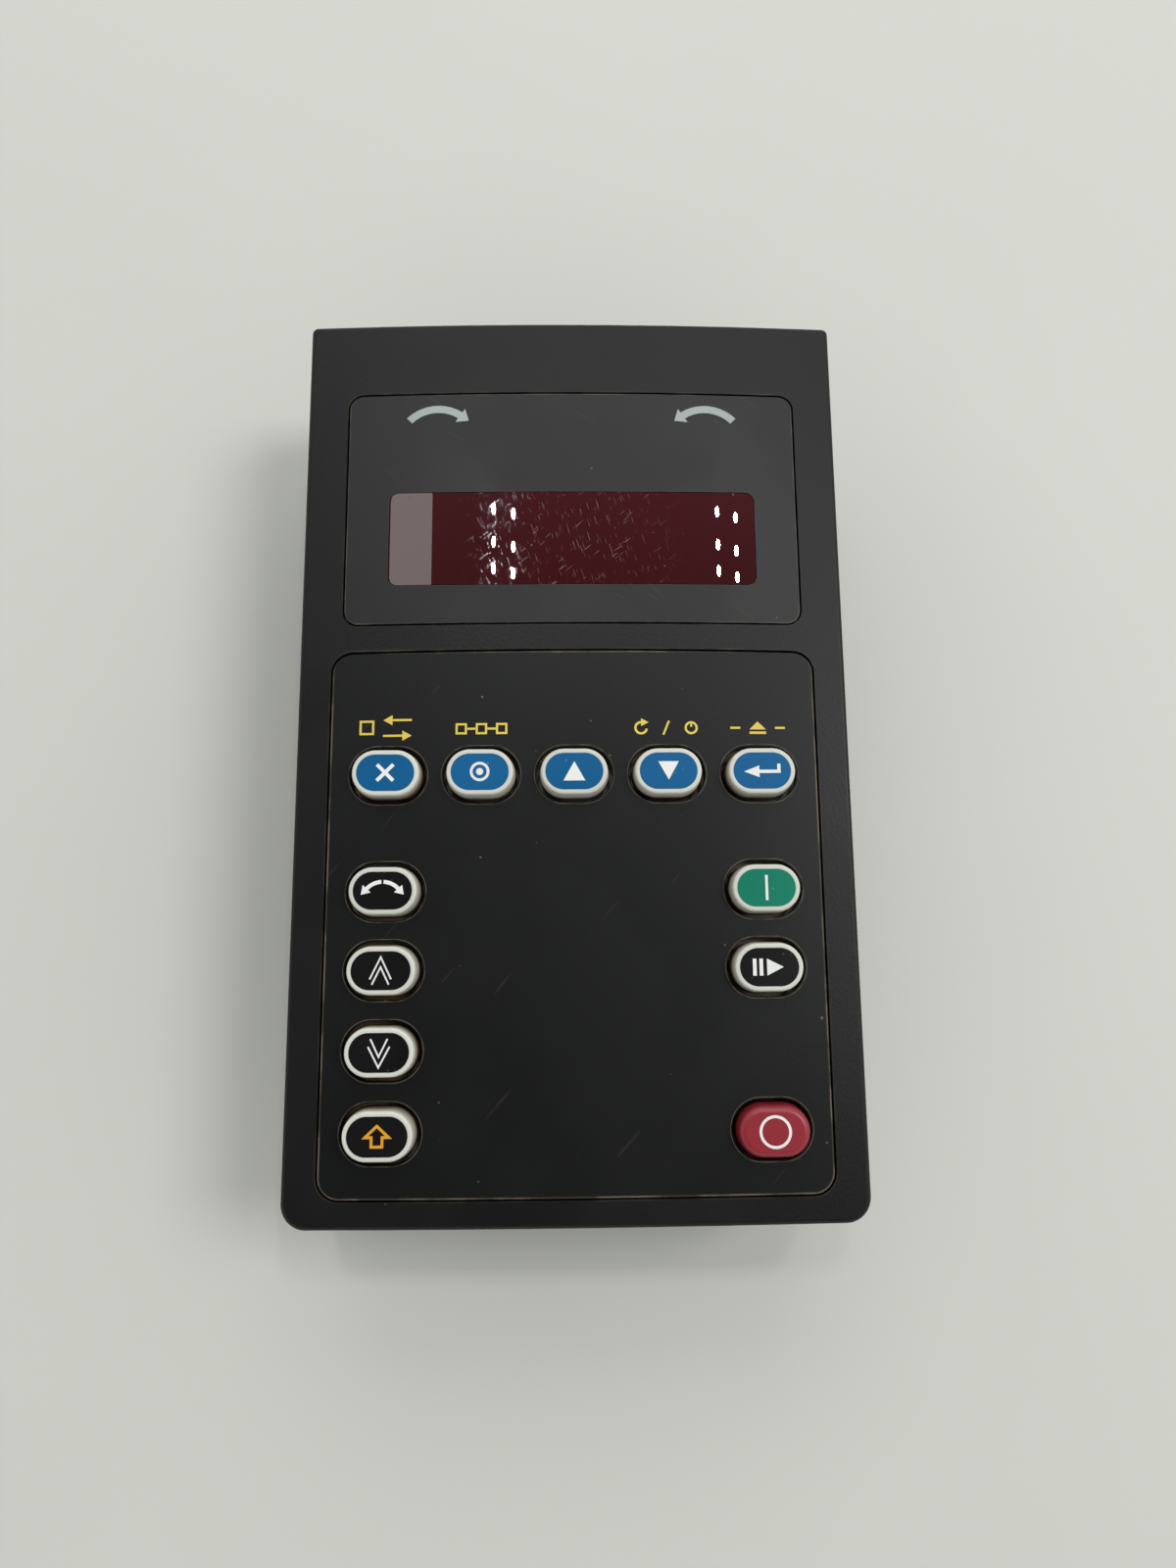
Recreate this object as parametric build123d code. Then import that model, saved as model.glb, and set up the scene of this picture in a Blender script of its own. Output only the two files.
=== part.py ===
from build123d import *
import math
import os

# A drive keypad lying on its back. Lengths are in millimetres and angles in degrees.
# X runs across the keypad, Y towards its top end and Z out of its face.
# The origin is on the back face, under the middle of the front case.

# Keys, a row of five over a column at each side. Columns count from the middle
key_length = 8.1
key_width = 5.7
key_gap_across = 2.9
key_gap_along = 3.3
key_row_gap = 7.98
key_rise = 2.0
key_draft = 5.0
key_top_round = 0.28
stop_key_grow = 0.06
stop_key_top_round = 0.75
key_travel = 1.2
key_flange_lap = 0.4
key_flange_thickness = 1.0
key_flange_gap = 0.3
plunger_diameter = 3.8
key_layout = {
    "escape": (-2, 0),
    "select": (-1, 0),
    "up": (0, 0),
    "down": (1, 0),
    "enter": (2, 0),
    "direction": (-2, 1),
    "increase": (-2, 2),
    "decrease": (-2, 3),
    "alternate": (-2, 4),
    "start": (2, 1),
    "jog": (2, 2),
    "stop": (2, 4),
}

# Keypad plate, sunk a little in the lower half of the face, with margins beyond its keys
plate_side = 2.85
plate_foot = 4.17
plate_head = 11.99
plate_high_arch = 0.23
plate_corner = 2.4
plate_thickness = 1.2
plate_sink = 0.18
plate_gap = 0.24
bedding = 0.05

# Key openings in the plate, with a shallow step round each
hole_gap = 0.48
step_width = 0.16
step_depth = 0.12
floor_hole_gap = 0.2

# Display panel, flush in the upper half of the face
panel_side = 5.375
panel_low_arch = 0.08
panel_high_arch = 0.16
panel_corner = 1.7
panel_thickness = 1.2
panel_gap = 0.26

# Display window, a tinted lens held behind the panel by a thin lip
window_length = 12.03
window_side = 5.15
window_head = 12.87
window_foot = 4.84
window_corner = 1.2
window_gap = 0.08
window_sink = 0.03
window_lip = 1.0
window_lip_thickness = 0.6
window_lip_gap = 0.15
window_ledge = 0.6

# Front case, with margins round the plate and the panel
case_side = 4.2
case_foot = 3.375
case_bridge = 3.74
case_head = 10.055
case_draft = 0.7
case_wall = 1.8
case_top_corner = 0.9
case_bottom_corner = 3.0
case_top_arch = 0.1
face_wall = 2.6
face_edge_round = 0.6
crown_radius = 600.0
inner_corner = 0.5
cut_past = 1.0

# Contact pills under the keys, and the printed contacts that they close
pill_diameter = 3.4
pill_thickness = 0.5
pill_gap = 0.05
pad_diameter = 4.4
pad_split = 0.4
pad_thickness = 0.1

# Silicone mat between the keys and the board
mat_thickness = 0.8
mat_web_height = 0.8
mat_web_wall = 0.6
mat_web_angle = 30.0
mat_margin = 1.9
mat_corner = 2.0
mat_post_gap = 0.4

# Rear housing: a flange that closes the case, and a narrower tub behind it
flange_thickness = 1.5
flange_gap = 0.15
tub_side = 4.1
tub_foot = 10.825
tub_head = 8.025
tub_corner = 4.0
tub_wall = 1.8
tub_back = 2.0
tub_draft = 0.8
tub_edge_round = 1.2
rail_end = 9.3
rail_height = 1.3
rail_lift = 3.6
rail_spacing = 5.0
rail_width = 1.5
catch_width = 14.0
catch_length = 5.0
catch_depth = 1.2
catch_offset = 5.5
tub_rib_width = 1.0
tub_rib_height = 1.4
tub_rib_pitch = 14.0
grip_count = 5
grip_pitch = 2.4
grip_length = 24.0
grip_width = 1.1
grip_depth = 0.5
grip_offset = 13.0

# Circuit board
board_thickness = 1.6
board_side_gap = 1.6
board_end = 7.825
board_corner = 1.5

# Moulded posts and screws
post_wall = 1.25
screw_diameter = 2.2
screw_play = 0.05
screw_through_play = 0.2
screw_head_diameter = 4.2
screw_head_height = 1.4
screw_drive_width = 0.6
screw_drive_depth = 0.7
case_screw_length = 6.5
case_screw_pad = 1.2
case_screw_seat = 1.2
case_screw_rim = 0.7
case_screw_side = 9.1
case_screw_end = 5.225
board_screw_length = 5.0
board_screw_side = 8.8
board_screw_foot = 5.4
board_screw_head = 6.5
pilot_end_wall = 0.6

# Stiffening ribs under the face
rib_width = 1.0
rib_board_gap = 0.6

# Numeric display, two blocks of three digits behind the window
digit_block_length = 13.6
digit_block_height = 4.5
digit_block_gap = 0.4
digit_top_gap = 0.9
digits_per_block = 3
digit_pitch = 7.3
digit_height = 9.0
digit_width = 4.6
segment_width = 0.9
segment_gap = 0.15
segment_thickness = 0.1
shroud_wall = 1.0
shroud_gap = 0.25
shroud_head_gap = 0.3

# Two small lamps behind the direction signs
lamp_side = 10.925
lamp_head = 2.47
lamp_diameter = 3.0
lamp_height = 5.0
lamp_base_diameter = 3.7
lamp_base_height = 0.8
lamp_tube_gap = 0.5
lamp_tube_wall = 0.7
lamp_tube_lift = 1.5

# Round data port in the lower end of the rear housing
port_floor_clearance = 1.7
port_board_clearance = 1.9
port_shell_diameter = 9.8
port_shell_wall = 0.2
port_shell_stand = 0.4
port_core_diameter = 7.2
port_core_set_back = 0.5
port_opening_gap = 0.2
port_body_width = 14.0
port_body_length = 10.5
port_groove_depth = 2.8
port_fit_gap = 0.05
port_floor_gap = 0.6
port_key_width = 2.4
port_key_height = 0.9
port_contact_diameter = 0.9
port_contact_bore = 0.5
port_contact_length = 6.0
port_contact_rows = ((1.7, (-2.1, 0.0, 2.1)), (0.1, (-2.7, 2.7)), (-1.9, (-2.1, 0.0, 2.1)))
port_tail_width = 0.5

# Parts on the back of the board
controller_size = 10.0
controller_thickness = 1.4
controller_head = 25.9
controller_leads = 11
controller_lead_pitch = 0.8
driver_length = 9.9
driver_width = 3.9
driver_thickness = 1.5
driver_x = 13.0
driver_drop = 19.0
driver_leads = 8
driver_lead_pitch = 1.27
chip_lift = 0.15
lead_width = 0.35
lead_thickness = 0.2
lead_reach = 1.0
capacitor_diameter = 6.3
capacitor_height = 5.4
capacitor_base = 6.6
capacitor_base_height = 1.0
capacitor_place = (-16.0, -18.0)
crystal_length = 11.0
crystal_width = 4.6
crystal_height = 3.4
crystal_place = (16.0, 22.0)
chip_part_size = (2.0, 1.25, 0.6)
chip_part_rows = ((-20.0, 12.0), (20.0, 12.0), (-6.0, -16.0), (8.0, -16.0), (-20.0, 30.0))
chip_parts_per_row = 4
chip_part_pitch = 2.6

# Keypad plate, panel and case, worked out from the keys and the margins
key_pitch_x = key_length + key_gap_across
key_pitch_y = key_width + key_gap_along
key_columns_out = max(column_number for column_number, row in key_layout.values())
key_side_rows = max(row for column_number, row in key_layout.values())
hole_length = key_length + 2 * hole_gap
hole_width = key_width + 2 * hole_gap
plate_width = 2 * (key_columns_out * key_pitch_x + key_length / 2 + plate_side)
plate_length = plate_head + key_width + key_row_gap + key_side_rows * key_pitch_y - key_gap_along + plate_foot
case_width = plate_width + 2 * case_side
panel_length = window_head + window_length + window_foot
case_height = case_foot + plate_length + case_bridge + panel_length + case_head
plate_low = case_foot - case_height / 2
plate_high = plate_low + plate_length
top_row_y = plate_high - plate_head - key_width / 2
side_row_y = top_row_y - key_width - key_row_gap
panel_width = case_width - 2 * panel_side
panel_low = plate_high + case_bridge
panel_high = panel_low + panel_length
window_width = panel_width - 2 * window_side
window_high = panel_high - window_head
window_low = window_high - window_length

# Housing, board and what they carry
tub_width = case_width - 2 * tub_side
tub_low = tub_foot - case_height / 2
tub_high = case_height / 2 - tub_head
board_width = case_width - 2 * (case_wall + board_side_gap)
board_high = case_height / 2 - board_end
digit_block_width = digits_per_block * digit_pitch + digit_block_gap
lamp_place = (panel_width / 2 - lamp_side, panel_high - lamp_head)
controller_place = (0.0, board_high - controller_head)
driver_place = (driver_x, controller_place[1] - driver_drop)
case_screw_low = (key_pitch_x, case_screw_end - case_height / 2)
case_screw_high = (case_width / 2 - case_screw_side, case_height / 2 - case_screw_end)
board_screw_low = (key_pitch_x, tub_low + board_screw_foot)
board_screw_high = (case_width / 2 - board_screw_side, window_high + board_screw_head)
post_diameter = screw_diameter + 2 * (screw_play + post_wall)

# Heights above the back face
port_lift = tub_back + port_floor_clearance + port_shell_diameter / 2
board_bottom = port_lift + port_shell_diameter / 2 + port_board_clearance
board_top = board_bottom + board_thickness
split_z = board_bottom - flange_thickness
face_height = board_top + digit_block_height + digit_top_gap + face_wall
case_depth = face_height - split_z
panel_pocket = panel_thickness + bedding
plate_pocket = plate_sink + plate_thickness + bedding
window_pocket = panel_pocket + window_lip_thickness + bedding
pill_bottom = board_top + pad_thickness + pill_gap + key_travel
pill_top = pill_bottom + pill_thickness


def face_z(x, depth=0.0):
    """Height at x of the crowned face lowered by depth."""
    radius = crown_radius - depth
    return face_height - crown_radius + math.sqrt(radius * radius - x * x)


def under_face(depth):
    """The space below the crowned face lowered by depth, wider and longer than the case."""
    reach = 0.6 * case_width
    edge = face_z(reach, depth)
    sides = Polyline((reach, edge), (reach, 0), (-reach, 0), (-reach, edge))
    crown = ThreePointArc((-reach, edge), (0, face_z(0, depth)), (reach, edge))
    return extrude(Plane.XZ * make_face(sides + crown), amount=0.6 * case_height, both=True)


def arched_outline(width, low, high, low_corner, high_corner, low_arch=0.0, high_arch=0.0):
    """A flat outline with straight sides and ends that may arch gently towards the top."""
    half = width / 2
    edges = Line((half, low), (half, high)) + Line((-half, high), (-half, low))
    for level, arch in ((low, low_arch), (high, high_arch)):
        if arch:
            edges += ThreePointArc((-half, level), (0, level + arch), (half, level))
        else:
            edges += Line((-half, level), (half, level))
    outline = make_face(edges)
    outline = fillet(outline.vertices().group_by(Axis.Y)[0], low_corner)
    return fillet(outline.vertices().group_by(Axis.Y)[-1], high_corner)


def column(outline, low, high, draft=0.0):
    """The outline as an upright solid from low to high, narrowed upwards by draft."""
    return extrude(Pos(0, 0, low) * outline, amount=high - low, taper=draft)


def crowned_sheet(outline, top_depth, bottom_depth):
    """A sheet that follows the crowned face between two depths below it."""
    sheet = column(outline, split_z, face_height + cut_past) & under_face(top_depth)
    return sheet - under_face(bottom_depth)


def post(place, diameter, low, high):
    """An upright round post at a place in plan."""
    return Pos(place[0], place[1], low) * extrude(Circle(diameter / 2), amount=high - low)


def mirrored(place):
    """A place in plan and its mirror image across the keypad's middle."""
    return ((place[0], place[1]), (-place[0], place[1]))


def case_outline(inset=0.0):
    """The front case in plan, drawn in by inset."""
    return arched_outline(
        case_width - 2 * inset,
        inset - case_height / 2,
        case_height / 2 - case_top_arch - inset,
        max(case_bottom_corner - inset, inner_corner),
        max(case_top_corner - inset, inner_corner),
        high_arch=case_top_arch,
    )


def panel_outline(grow=0.0):
    """The display panel in plan, grown by grow."""
    return arched_outline(
        panel_width + 2 * grow,
        panel_low - grow,
        panel_high + grow,
        panel_corner + grow,
        panel_corner + grow,
        panel_low_arch,
        panel_high_arch,
    )


def window_outline(grow=0.0):
    """The window in plan, grown by grow."""
    corner = max(window_corner + grow, inner_corner)
    return arched_outline(window_width + 2 * grow, window_low - grow, window_high + grow, corner, corner)


def plate_outline(grow=0.0):
    """The keypad plate in plan, grown by grow."""
    corner = plate_corner + grow
    high = plate_high + grow
    return arched_outline(
        plate_width + 2 * grow, plate_low - grow, high, corner, corner, high_arch=plate_high_arch
    )


def key_place(name):
    """Where a key stands in plan."""
    column_number, row = key_layout[name]
    y = top_row_y if row == 0 else side_row_y - (row - 1) * key_pitch_y
    return (column_number * key_pitch_x, y)


def key_slots(grow=0.0):
    """The openings in the keypad plate, grown by grow, as one flat pattern."""
    slot = SlotOverall(hole_length + 2 * grow, hole_width + 2 * grow)
    return [Pos(*key_place(name)) * slot for name in key_layout]


def case_screw_places():
    return mirrored(case_screw_low) + mirrored(case_screw_high)


def board_screw_places():
    return mirrored(board_screw_low) + mirrored(board_screw_high)


def make_screw_post(place, foot, screw_length, seat):
    """A moulded post under the face, and the pilot hole that a screw from below cuts into."""
    body = post(place, post_diameter, foot, face_height) & under_face(face_wall - bedding)
    pilot = post(place, screw_diameter + 2 * screw_play, foot, seat + screw_length + pilot_end_wall)
    return body, pilot


def make_front_bezel():
    """The crowned front shell with its two recesses, openings, posts, ribs and lamp tubes."""
    shell = column(case_outline(), split_z, face_height + cut_past, case_draft) & under_face(0)
    crest = shell.edges().filter_by(lambda edge: edge.center().Z > face_z(case_width / 2) - 0.5)
    shell = fillet(crest, face_edge_round)
    cavity = column(case_outline(case_wall), split_z, face_height, case_draft) & under_face(face_wall)
    shell -= cavity

    # Ribs across the inside, and the tubes that keep the direction lamps' light apart
    inner_width = case_width - 2 * case_wall
    for y in ((plate_high + panel_low) / 2, plate_low - plate_gap - rib_width / 2):
        rib = Pos(0, y, board_top + rib_board_gap) * Box(
            inner_width + case_wall, rib_width, case_depth, align=(Align.CENTER, Align.CENTER, Align.MIN)
        )
        shell += rib & under_face(face_wall - bedding)
    lamp_bore = lamp_diameter + 2 * lamp_tube_gap
    for place in mirrored(lamp_place):
        tube = post(place, lamp_bore + 2 * lamp_tube_wall, board_top + lamp_tube_lift, face_height)
        shell += tube & under_face(face_wall - bedding)

    # Screw posts: the long ones reach the housing's flange, the short ones the board
    pilots = []
    for place in case_screw_places():
        body, pilot = make_screw_post(place, board_bottom, case_screw_length, board_bottom - case_screw_seat)
        shell += body
        pilots.append(pilot)
    for place in board_screw_places():
        body, pilot = make_screw_post(place, board_top, board_screw_length, board_bottom)
        shell += body
        pilots.append(pilot)

    # Recesses in the face
    shell -= crowned_sheet(panel_outline(panel_gap), -cut_past, panel_pocket)
    shell -= crowned_sheet(plate_outline(plate_gap), -cut_past, plate_pocket)
    shell -= crowned_sheet(window_outline(window_lip + window_lip_gap), -cut_past, window_pocket)

    # Openings through the floor of the recesses
    shell -= column(window_outline(-window_ledge), split_z, face_height)
    for slot in key_slots(floor_hole_gap):
        shell -= column(slot, split_z, face_height)
    for place in mirrored(lamp_place):
        shell -= post(place, lamp_bore, split_z, face_height)
    for pilot in pilots:
        shell -= pilot
    return shell


def make_display_panel():
    """The dark panel round the window."""
    opening = column(window_outline(), split_z, face_height + cut_past)
    return crowned_sheet(panel_outline(), 0, panel_thickness) - opening


def make_display_window():
    """The tinted lens: its front fills the panel's opening and its lip sits behind the panel."""
    back = panel_pocket + window_lip_thickness
    lens = crowned_sheet(window_outline(-window_gap), window_sink, back)
    lip = crowned_sheet(window_outline(window_lip), panel_pocket, back)
    return lens + lip


def make_keypad_plate():
    """The black plate with an opening for each key and a shallow step round it."""
    plate = crowned_sheet(plate_outline(), plate_sink, plate_sink + plate_thickness)
    for ring in key_slots(step_width):
        plate -= crowned_sheet(ring, -cut_past, plate_sink + step_depth)
    for slot in key_slots():
        plate -= column(slot, split_z, face_height + cut_past)
    return plate


def make_key(name):
    """A key: a tapered cap, a flange that the case holds back, and a plunger."""
    x, y = key_place(name)
    grow = stop_key_grow if name == "stop" else 0.0
    top_round = stop_key_top_round if name == "stop" else key_top_round
    plate_z = face_z(x, plate_sink)
    flange_length = hole_length + 2 * (floor_hole_gap + key_flange_lap)
    flange_width = hole_width + 2 * (floor_hole_gap + key_flange_lap)
    flange_top = face_z(abs(x) + flange_length / 2, face_wall) - key_flange_gap
    flange_bottom = flange_top - key_flange_thickness
    slot = SlotOverall(key_length + 2 * grow, key_width + 2 * grow)
    cap = column(slot, plate_z, plate_z + key_rise, key_draft)
    cap = fillet(cap.faces().sort_by(Axis.Z)[-1].edges(), top_round)
    key = cap + column(slot, flange_bottom, plate_z)
    key += column(SlotOverall(flange_length, flange_width), flange_bottom, flange_top)
    key += post((0, 0), plunger_diameter, pill_top, flange_bottom)
    return Pos(x, y) * key


def make_pill(name):
    """The conductive pill under a key's plunger."""
    return post(key_place(name), pill_diameter, pill_bottom, pill_top)


def make_key_contacts():
    """Two half-round contacts on the board under each key."""
    disc = Circle(pad_diameter / 2) - Rectangle(pad_split, pad_diameter)
    pads = []
    for name in key_layout:
        pads += column(Pos(*key_place(name)) * disc, board_top, board_top + pad_thickness).solids()
    return pads


def make_key_mat():
    """The silicone mat, with a hollow raised web under each key."""
    far_x = key_columns_out * key_pitch_x + hole_length / 2 + mat_margin
    low = side_row_y - (key_side_rows - 1) * key_pitch_y - hole_width / 2 - mat_margin / 2
    high = top_row_y + hole_width / 2 + mat_margin
    sheet = arched_outline(2 * far_x, low, high, mat_corner, mat_corner)
    web_top = board_top + mat_thickness + mat_web_height
    web_grow = floor_hole_gap + key_flange_lap
    mat = column(sheet, board_top, board_top + mat_thickness)
    for slot in key_slots(web_grow):
        mat += column(slot, board_top + mat_thickness, web_top, mat_web_angle)
    for slot in key_slots(web_grow - mat_web_wall):
        mat -= column(slot, board_top, board_top + mat_thickness)
        mat -= column(slot, board_top + mat_thickness, web_top, mat_web_angle)
    for place in mirrored(board_screw_low) + mirrored(case_screw_low):
        mat -= post(place, post_diameter + 2 * mat_post_gap, board_top, web_top)
    return mat


def make_main_board():
    """The circuit board, drilled for its screws."""
    outline = arched_outline(board_width, -board_high, board_high, board_corner, board_corner)
    board = column(outline, board_bottom, board_top)
    for place in board_screw_places():
        board -= post(place, screw_diameter + 2 * screw_through_play, board_bottom, board_top)
    return board


def make_screw(place, seat, length):
    """A pan-head screw pointing up, with its head under the seat and a cross drive in the head."""
    radius = screw_head_diameter / 2
    head = Pos(0, 0, -screw_head_height) * extrude(Circle(radius), amount=screw_head_height)
    head = chamfer(head.faces().sort_by(Axis.Z)[0].edges(), screw_head_height / 3)
    shank = extrude(Circle(screw_diameter / 2), amount=length)
    shank = chamfer(shank.faces().sort_by(Axis.Z)[-1].edges(), screw_diameter / 4)
    screw = head + shank
    for turn in (0, 90):
        drive = Pos(0, 0, -screw_head_height) * Rot(0, 0, turn) * Box(
            screw_head_diameter * 0.55, screw_drive_width, 2 * screw_drive_depth
        )
        screw -= drive
    return Pos(place[0], place[1], seat) * screw


def make_board_screws():
    return [make_screw(place, board_bottom, board_screw_length) for place in board_screw_places()]


def make_case_screws():
    seat = board_bottom - case_screw_seat
    return [make_screw(place, seat, case_screw_length) for place in case_screw_places()]


def make_rear_housing():
    """The rear housing: flange, tub, guide rails, screw pads, catch pocket and port opening."""
    outline = arched_outline(tub_width, tub_low, tub_high, tub_corner, tub_corner)
    tub = extrude(Pos(0, 0, board_bottom) * outline, amount=-board_bottom, taper=tub_draft)
    tub = fillet(tub.faces().sort_by(Axis.Z)[0].edges(), tub_edge_round)
    flange = column(case_outline(case_wall + flange_gap), split_z, board_bottom)
    housing = tub + flange

    # Pads behind the flange for the case screws
    pad_diameter_out = screw_head_diameter + 2 * (screw_through_play + case_screw_rim)
    pad_bottom = split_z - case_screw_pad
    for place in case_screw_places():
        housing += post(place, pad_diameter_out, pad_bottom, board_bottom)

    # Two pairs of rails along the sides
    rail_middle = (tub_low + tub_high) / 2
    rail_length = tub_high - tub_low - 2 * rail_end
    for side in (-1, 1):
        for level in (rail_lift, rail_lift + rail_spacing):
            rail = Box(2 * rail_height + tub_wall, rail_length, rail_width)
            rail = chamfer(rail.edges().filter_by(Axis.Z), rail_height)
            housing += Pos(side * (tub_width / 2 - tub_wall / 2), rail_middle, level) * rail

    # Hollow inside, with stiffening ribs on the back wall
    inner_corner_radius = tub_corner - tub_wall
    room = arched_outline(
        tub_width - 2 * tub_wall,
        tub_low + tub_wall,
        tub_high - tub_wall,
        inner_corner_radius,
        inner_corner_radius,
    )
    hollow = extrude(Pos(0, 0, board_bottom) * room, amount=tub_back - board_bottom, taper=tub_draft)
    housing -= hollow
    for step in (-1, 0, 1):
        rib = Pos(0, rail_middle + step * tub_rib_pitch, tub_back) * Box(
            tub_width, tub_rib_width, tub_rib_height, align=(Align.CENTER, Align.CENTER, Align.MIN)
        )
        housing += rib & hollow

    # Screw holes, sunk for the heads
    seat = board_bottom - case_screw_seat
    for place in case_screw_places():
        housing -= post(place, screw_diameter + 2 * screw_through_play, pad_bottom, board_bottom)
        housing -= post(place, screw_head_diameter + 2 * screw_through_play, pad_bottom, seat)

    # Catch pocket in the back, and grip grooves below it
    catch = Pos(0, tub_high - catch_offset, 0) * Box(catch_width, catch_length, 2 * catch_depth)
    housing -= chamfer(catch.edges().filter_by(Axis.Z), catch_depth / 2)
    for index in range(grip_count):
        groove = Pos(0, tub_high - grip_offset - index * grip_pitch, 0) * extrude(
            SlotOverall(grip_length, grip_width), amount=grip_depth
        )
        housing -= groove

    # Round opening for the port in the lower end
    opening = Pos(0, tub_low, port_lift) * Rot(90, 0, 0) * Cylinder(
        port_shell_diameter / 2 + port_opening_gap, 3 * tub_wall
    )
    return housing - opening


def port_cylinder(diameter, front, length):
    """A round bar on the port's axis, from its front end inwards."""
    return Pos(0, front, port_lift) * Rot(-90, 0, 0) * Cylinder(
        diameter / 2, length, align=(Align.CENTER, Align.CENTER, Align.MIN)
    )


def port_contact_places():
    """Where the contacts lie across the port, from its axis."""
    return [(x, z) for z, row in port_contact_rows for x in row]


def port_front():
    return tub_low - port_shell_stand


def port_body_front():
    """The block stands just clear of the tub's end wall, which leans in towards the back."""
    lean = (board_bottom - tub_back) * math.tan(math.radians(tub_draft))
    return tub_low + tub_wall + lean + port_fit_gap


def make_port_body():
    """The port's moulded body: a block under the board and a round core with contact holes."""
    front = port_body_front()
    height = board_bottom - tub_back - port_floor_gap
    block = Pos(0, front, board_bottom) * Box(
        port_body_width, port_body_length, height, align=(Align.CENTER, Align.MIN, Align.MAX)
    )
    groove_outer = port_cylinder(port_shell_diameter + 2 * port_fit_gap, front, port_groove_depth)
    core_front = port_front() + port_core_set_back
    core = port_cylinder(port_core_diameter, core_front, front + port_groove_depth - core_front)
    body = (block - groove_outer) + core
    key = Pos(0, core_front, port_lift) * Box(
        port_key_width, 2 * port_groove_depth, port_key_height, align=(Align.CENTER, Align.MIN, Align.CENTER)
    )
    body -= key
    bore = port_contact_diameter + 2 * port_fit_gap
    for x, z in port_contact_places():
        body -= Pos(x, 0, z) * port_cylinder(bore, core_front, front + port_body_length - core_front)
    return body


def make_port_shell():
    """The metal sleeve that lines the port."""
    length = port_body_front() + port_groove_depth - port_front()
    outer = port_cylinder(port_shell_diameter, port_front(), length)
    return outer - port_cylinder(port_shell_diameter - 2 * port_shell_wall, port_front(), length)


def make_port_contacts():
    """Socket contacts in the port, each with a tail that turns up to the board."""
    contacts = []
    front = port_front() + port_core_set_back + 2 * port_fit_gap
    back = port_body_front() + port_body_length
    for index, (x, z) in enumerate(port_contact_places()):
        tube = Pos(x, 0, z) * port_cylinder(port_contact_diameter, front, back - front)
        tube -= Pos(x, 0, z) * port_cylinder(port_contact_bore, front, port_contact_length)
        reach = port_tail_width * (2 + 2 * (index % 3))
        low = port_lift + z - port_tail_width / 2
        arm = Pos(x, back, low) * Box(
            port_tail_width, reach, port_tail_width, align=(Align.CENTER, Align.MIN, Align.MIN)
        )
        tail = Pos(x, back + reach - port_tail_width, low) * Box(
            port_tail_width, port_tail_width, board_bottom - low, align=(Align.CENTER, Align.MIN, Align.MIN)
        )
        contacts.append((tube + arm + tail).solid())
    return contacts


def digit_block_x(side):
    return side * (digit_block_width + digit_block_gap) / 2


def window_middle():
    return (window_low + window_high) / 2


def make_digit_block(side):
    """One block of the numeric display."""
    block = Pos(digit_block_x(side), window_middle(), board_top) * Box(
        digit_block_width,
        digit_block_length,
        digit_block_height,
        align=(Align.CENTER, Align.CENTER, Align.MIN),
    )
    return chamfer(block.faces().sort_by(Axis.Z)[-1].edges(), segment_gap)


def segment_bar(length):
    """One lit bar of a digit, with pointed ends."""
    half = length / 2
    tip = segment_width / 2
    above = Polyline((-half, 0), (tip - half, tip), (half - tip, tip), (half, 0))
    below = Polyline((half, 0), (half - tip, -tip), (tip - half, -tip), (-half, 0))
    return make_face(above + below)


def make_digit_segments():
    """The seven bars and the point of each digit, standing just proud of the blocks."""
    half_height = (digit_height - segment_width) / 2
    half_width = (digit_width - segment_width) / 2
    level = segment_bar(2 * half_width - segment_gap)
    upright = Rot(0, 0, 90) * segment_bar(half_height - segment_gap)
    shapes = [Pos(0, step * half_height) * level for step in (-1, 0, 1)]
    for across in (-1, 1):
        shapes += [Pos(across * half_width, step * half_height / 2) * upright for step in (-1, 1)]
    point_x = (digit_width + segment_width) / 2 + 2 * segment_gap
    shapes.append(Pos(point_x, -half_height) * Circle(segment_width / 2))
    low = board_top + digit_block_height
    bars = []
    for side in (-1, 1):
        for digit in range(digits_per_block):
            x = digit_block_x(side) + (digit - (digits_per_block - 1) / 2) * digit_pitch
            for shape in shapes:
                bars += column(Pos(x, window_middle()) * shape, low, low + segment_thickness).solids()
    return bars


def make_display_shroud():
    """The light shield round the display blocks."""
    inner_width = 2 * digit_block_width + digit_block_gap + 2 * shroud_gap
    inner_length = digit_block_length + 2 * shroud_gap
    outer = Rectangle(inner_width + 2 * shroud_wall, inner_length + 2 * shroud_wall)
    frame = fillet(outer.vertices(), shroud_wall) - Rectangle(inner_width, inner_length)
    wall = column(Pos(0, window_middle()) * frame, board_top, face_height)
    return wall & under_face(face_wall + shroud_head_gap)


def make_direction_lamps():
    """Two domed lamps on the board."""
    lamps = []
    radius = lamp_diameter / 2
    for place in mirrored(lamp_place):
        base = post(place, lamp_base_diameter, board_top, board_top + lamp_base_height)
        stem = post(place, lamp_diameter, board_top, board_top + lamp_height - radius)
        dome = Pos(place[0], place[1], board_top + lamp_height - radius) * Sphere(radius)
        lamps.append((base + stem + dome).solid())
    return lamps


def chip_body(place, length, width, thickness):
    """A moulded chip body hung under the board, with chamfered edges."""
    body = Pos(place[0], place[1], board_bottom - chip_lift) * Box(
        length, width, thickness, align=(Align.CENTER, Align.CENTER, Align.MAX)
    )
    return chamfer(body.faces().sort_by(Axis.Z)[0].edges(), chip_lift)


def make_controller():
    return chip_body(controller_place, controller_size, controller_size, controller_thickness)


def make_drivers():
    places = mirrored(driver_place)
    return [chip_body(place, driver_width, driver_length, driver_thickness) for place in places]


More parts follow.
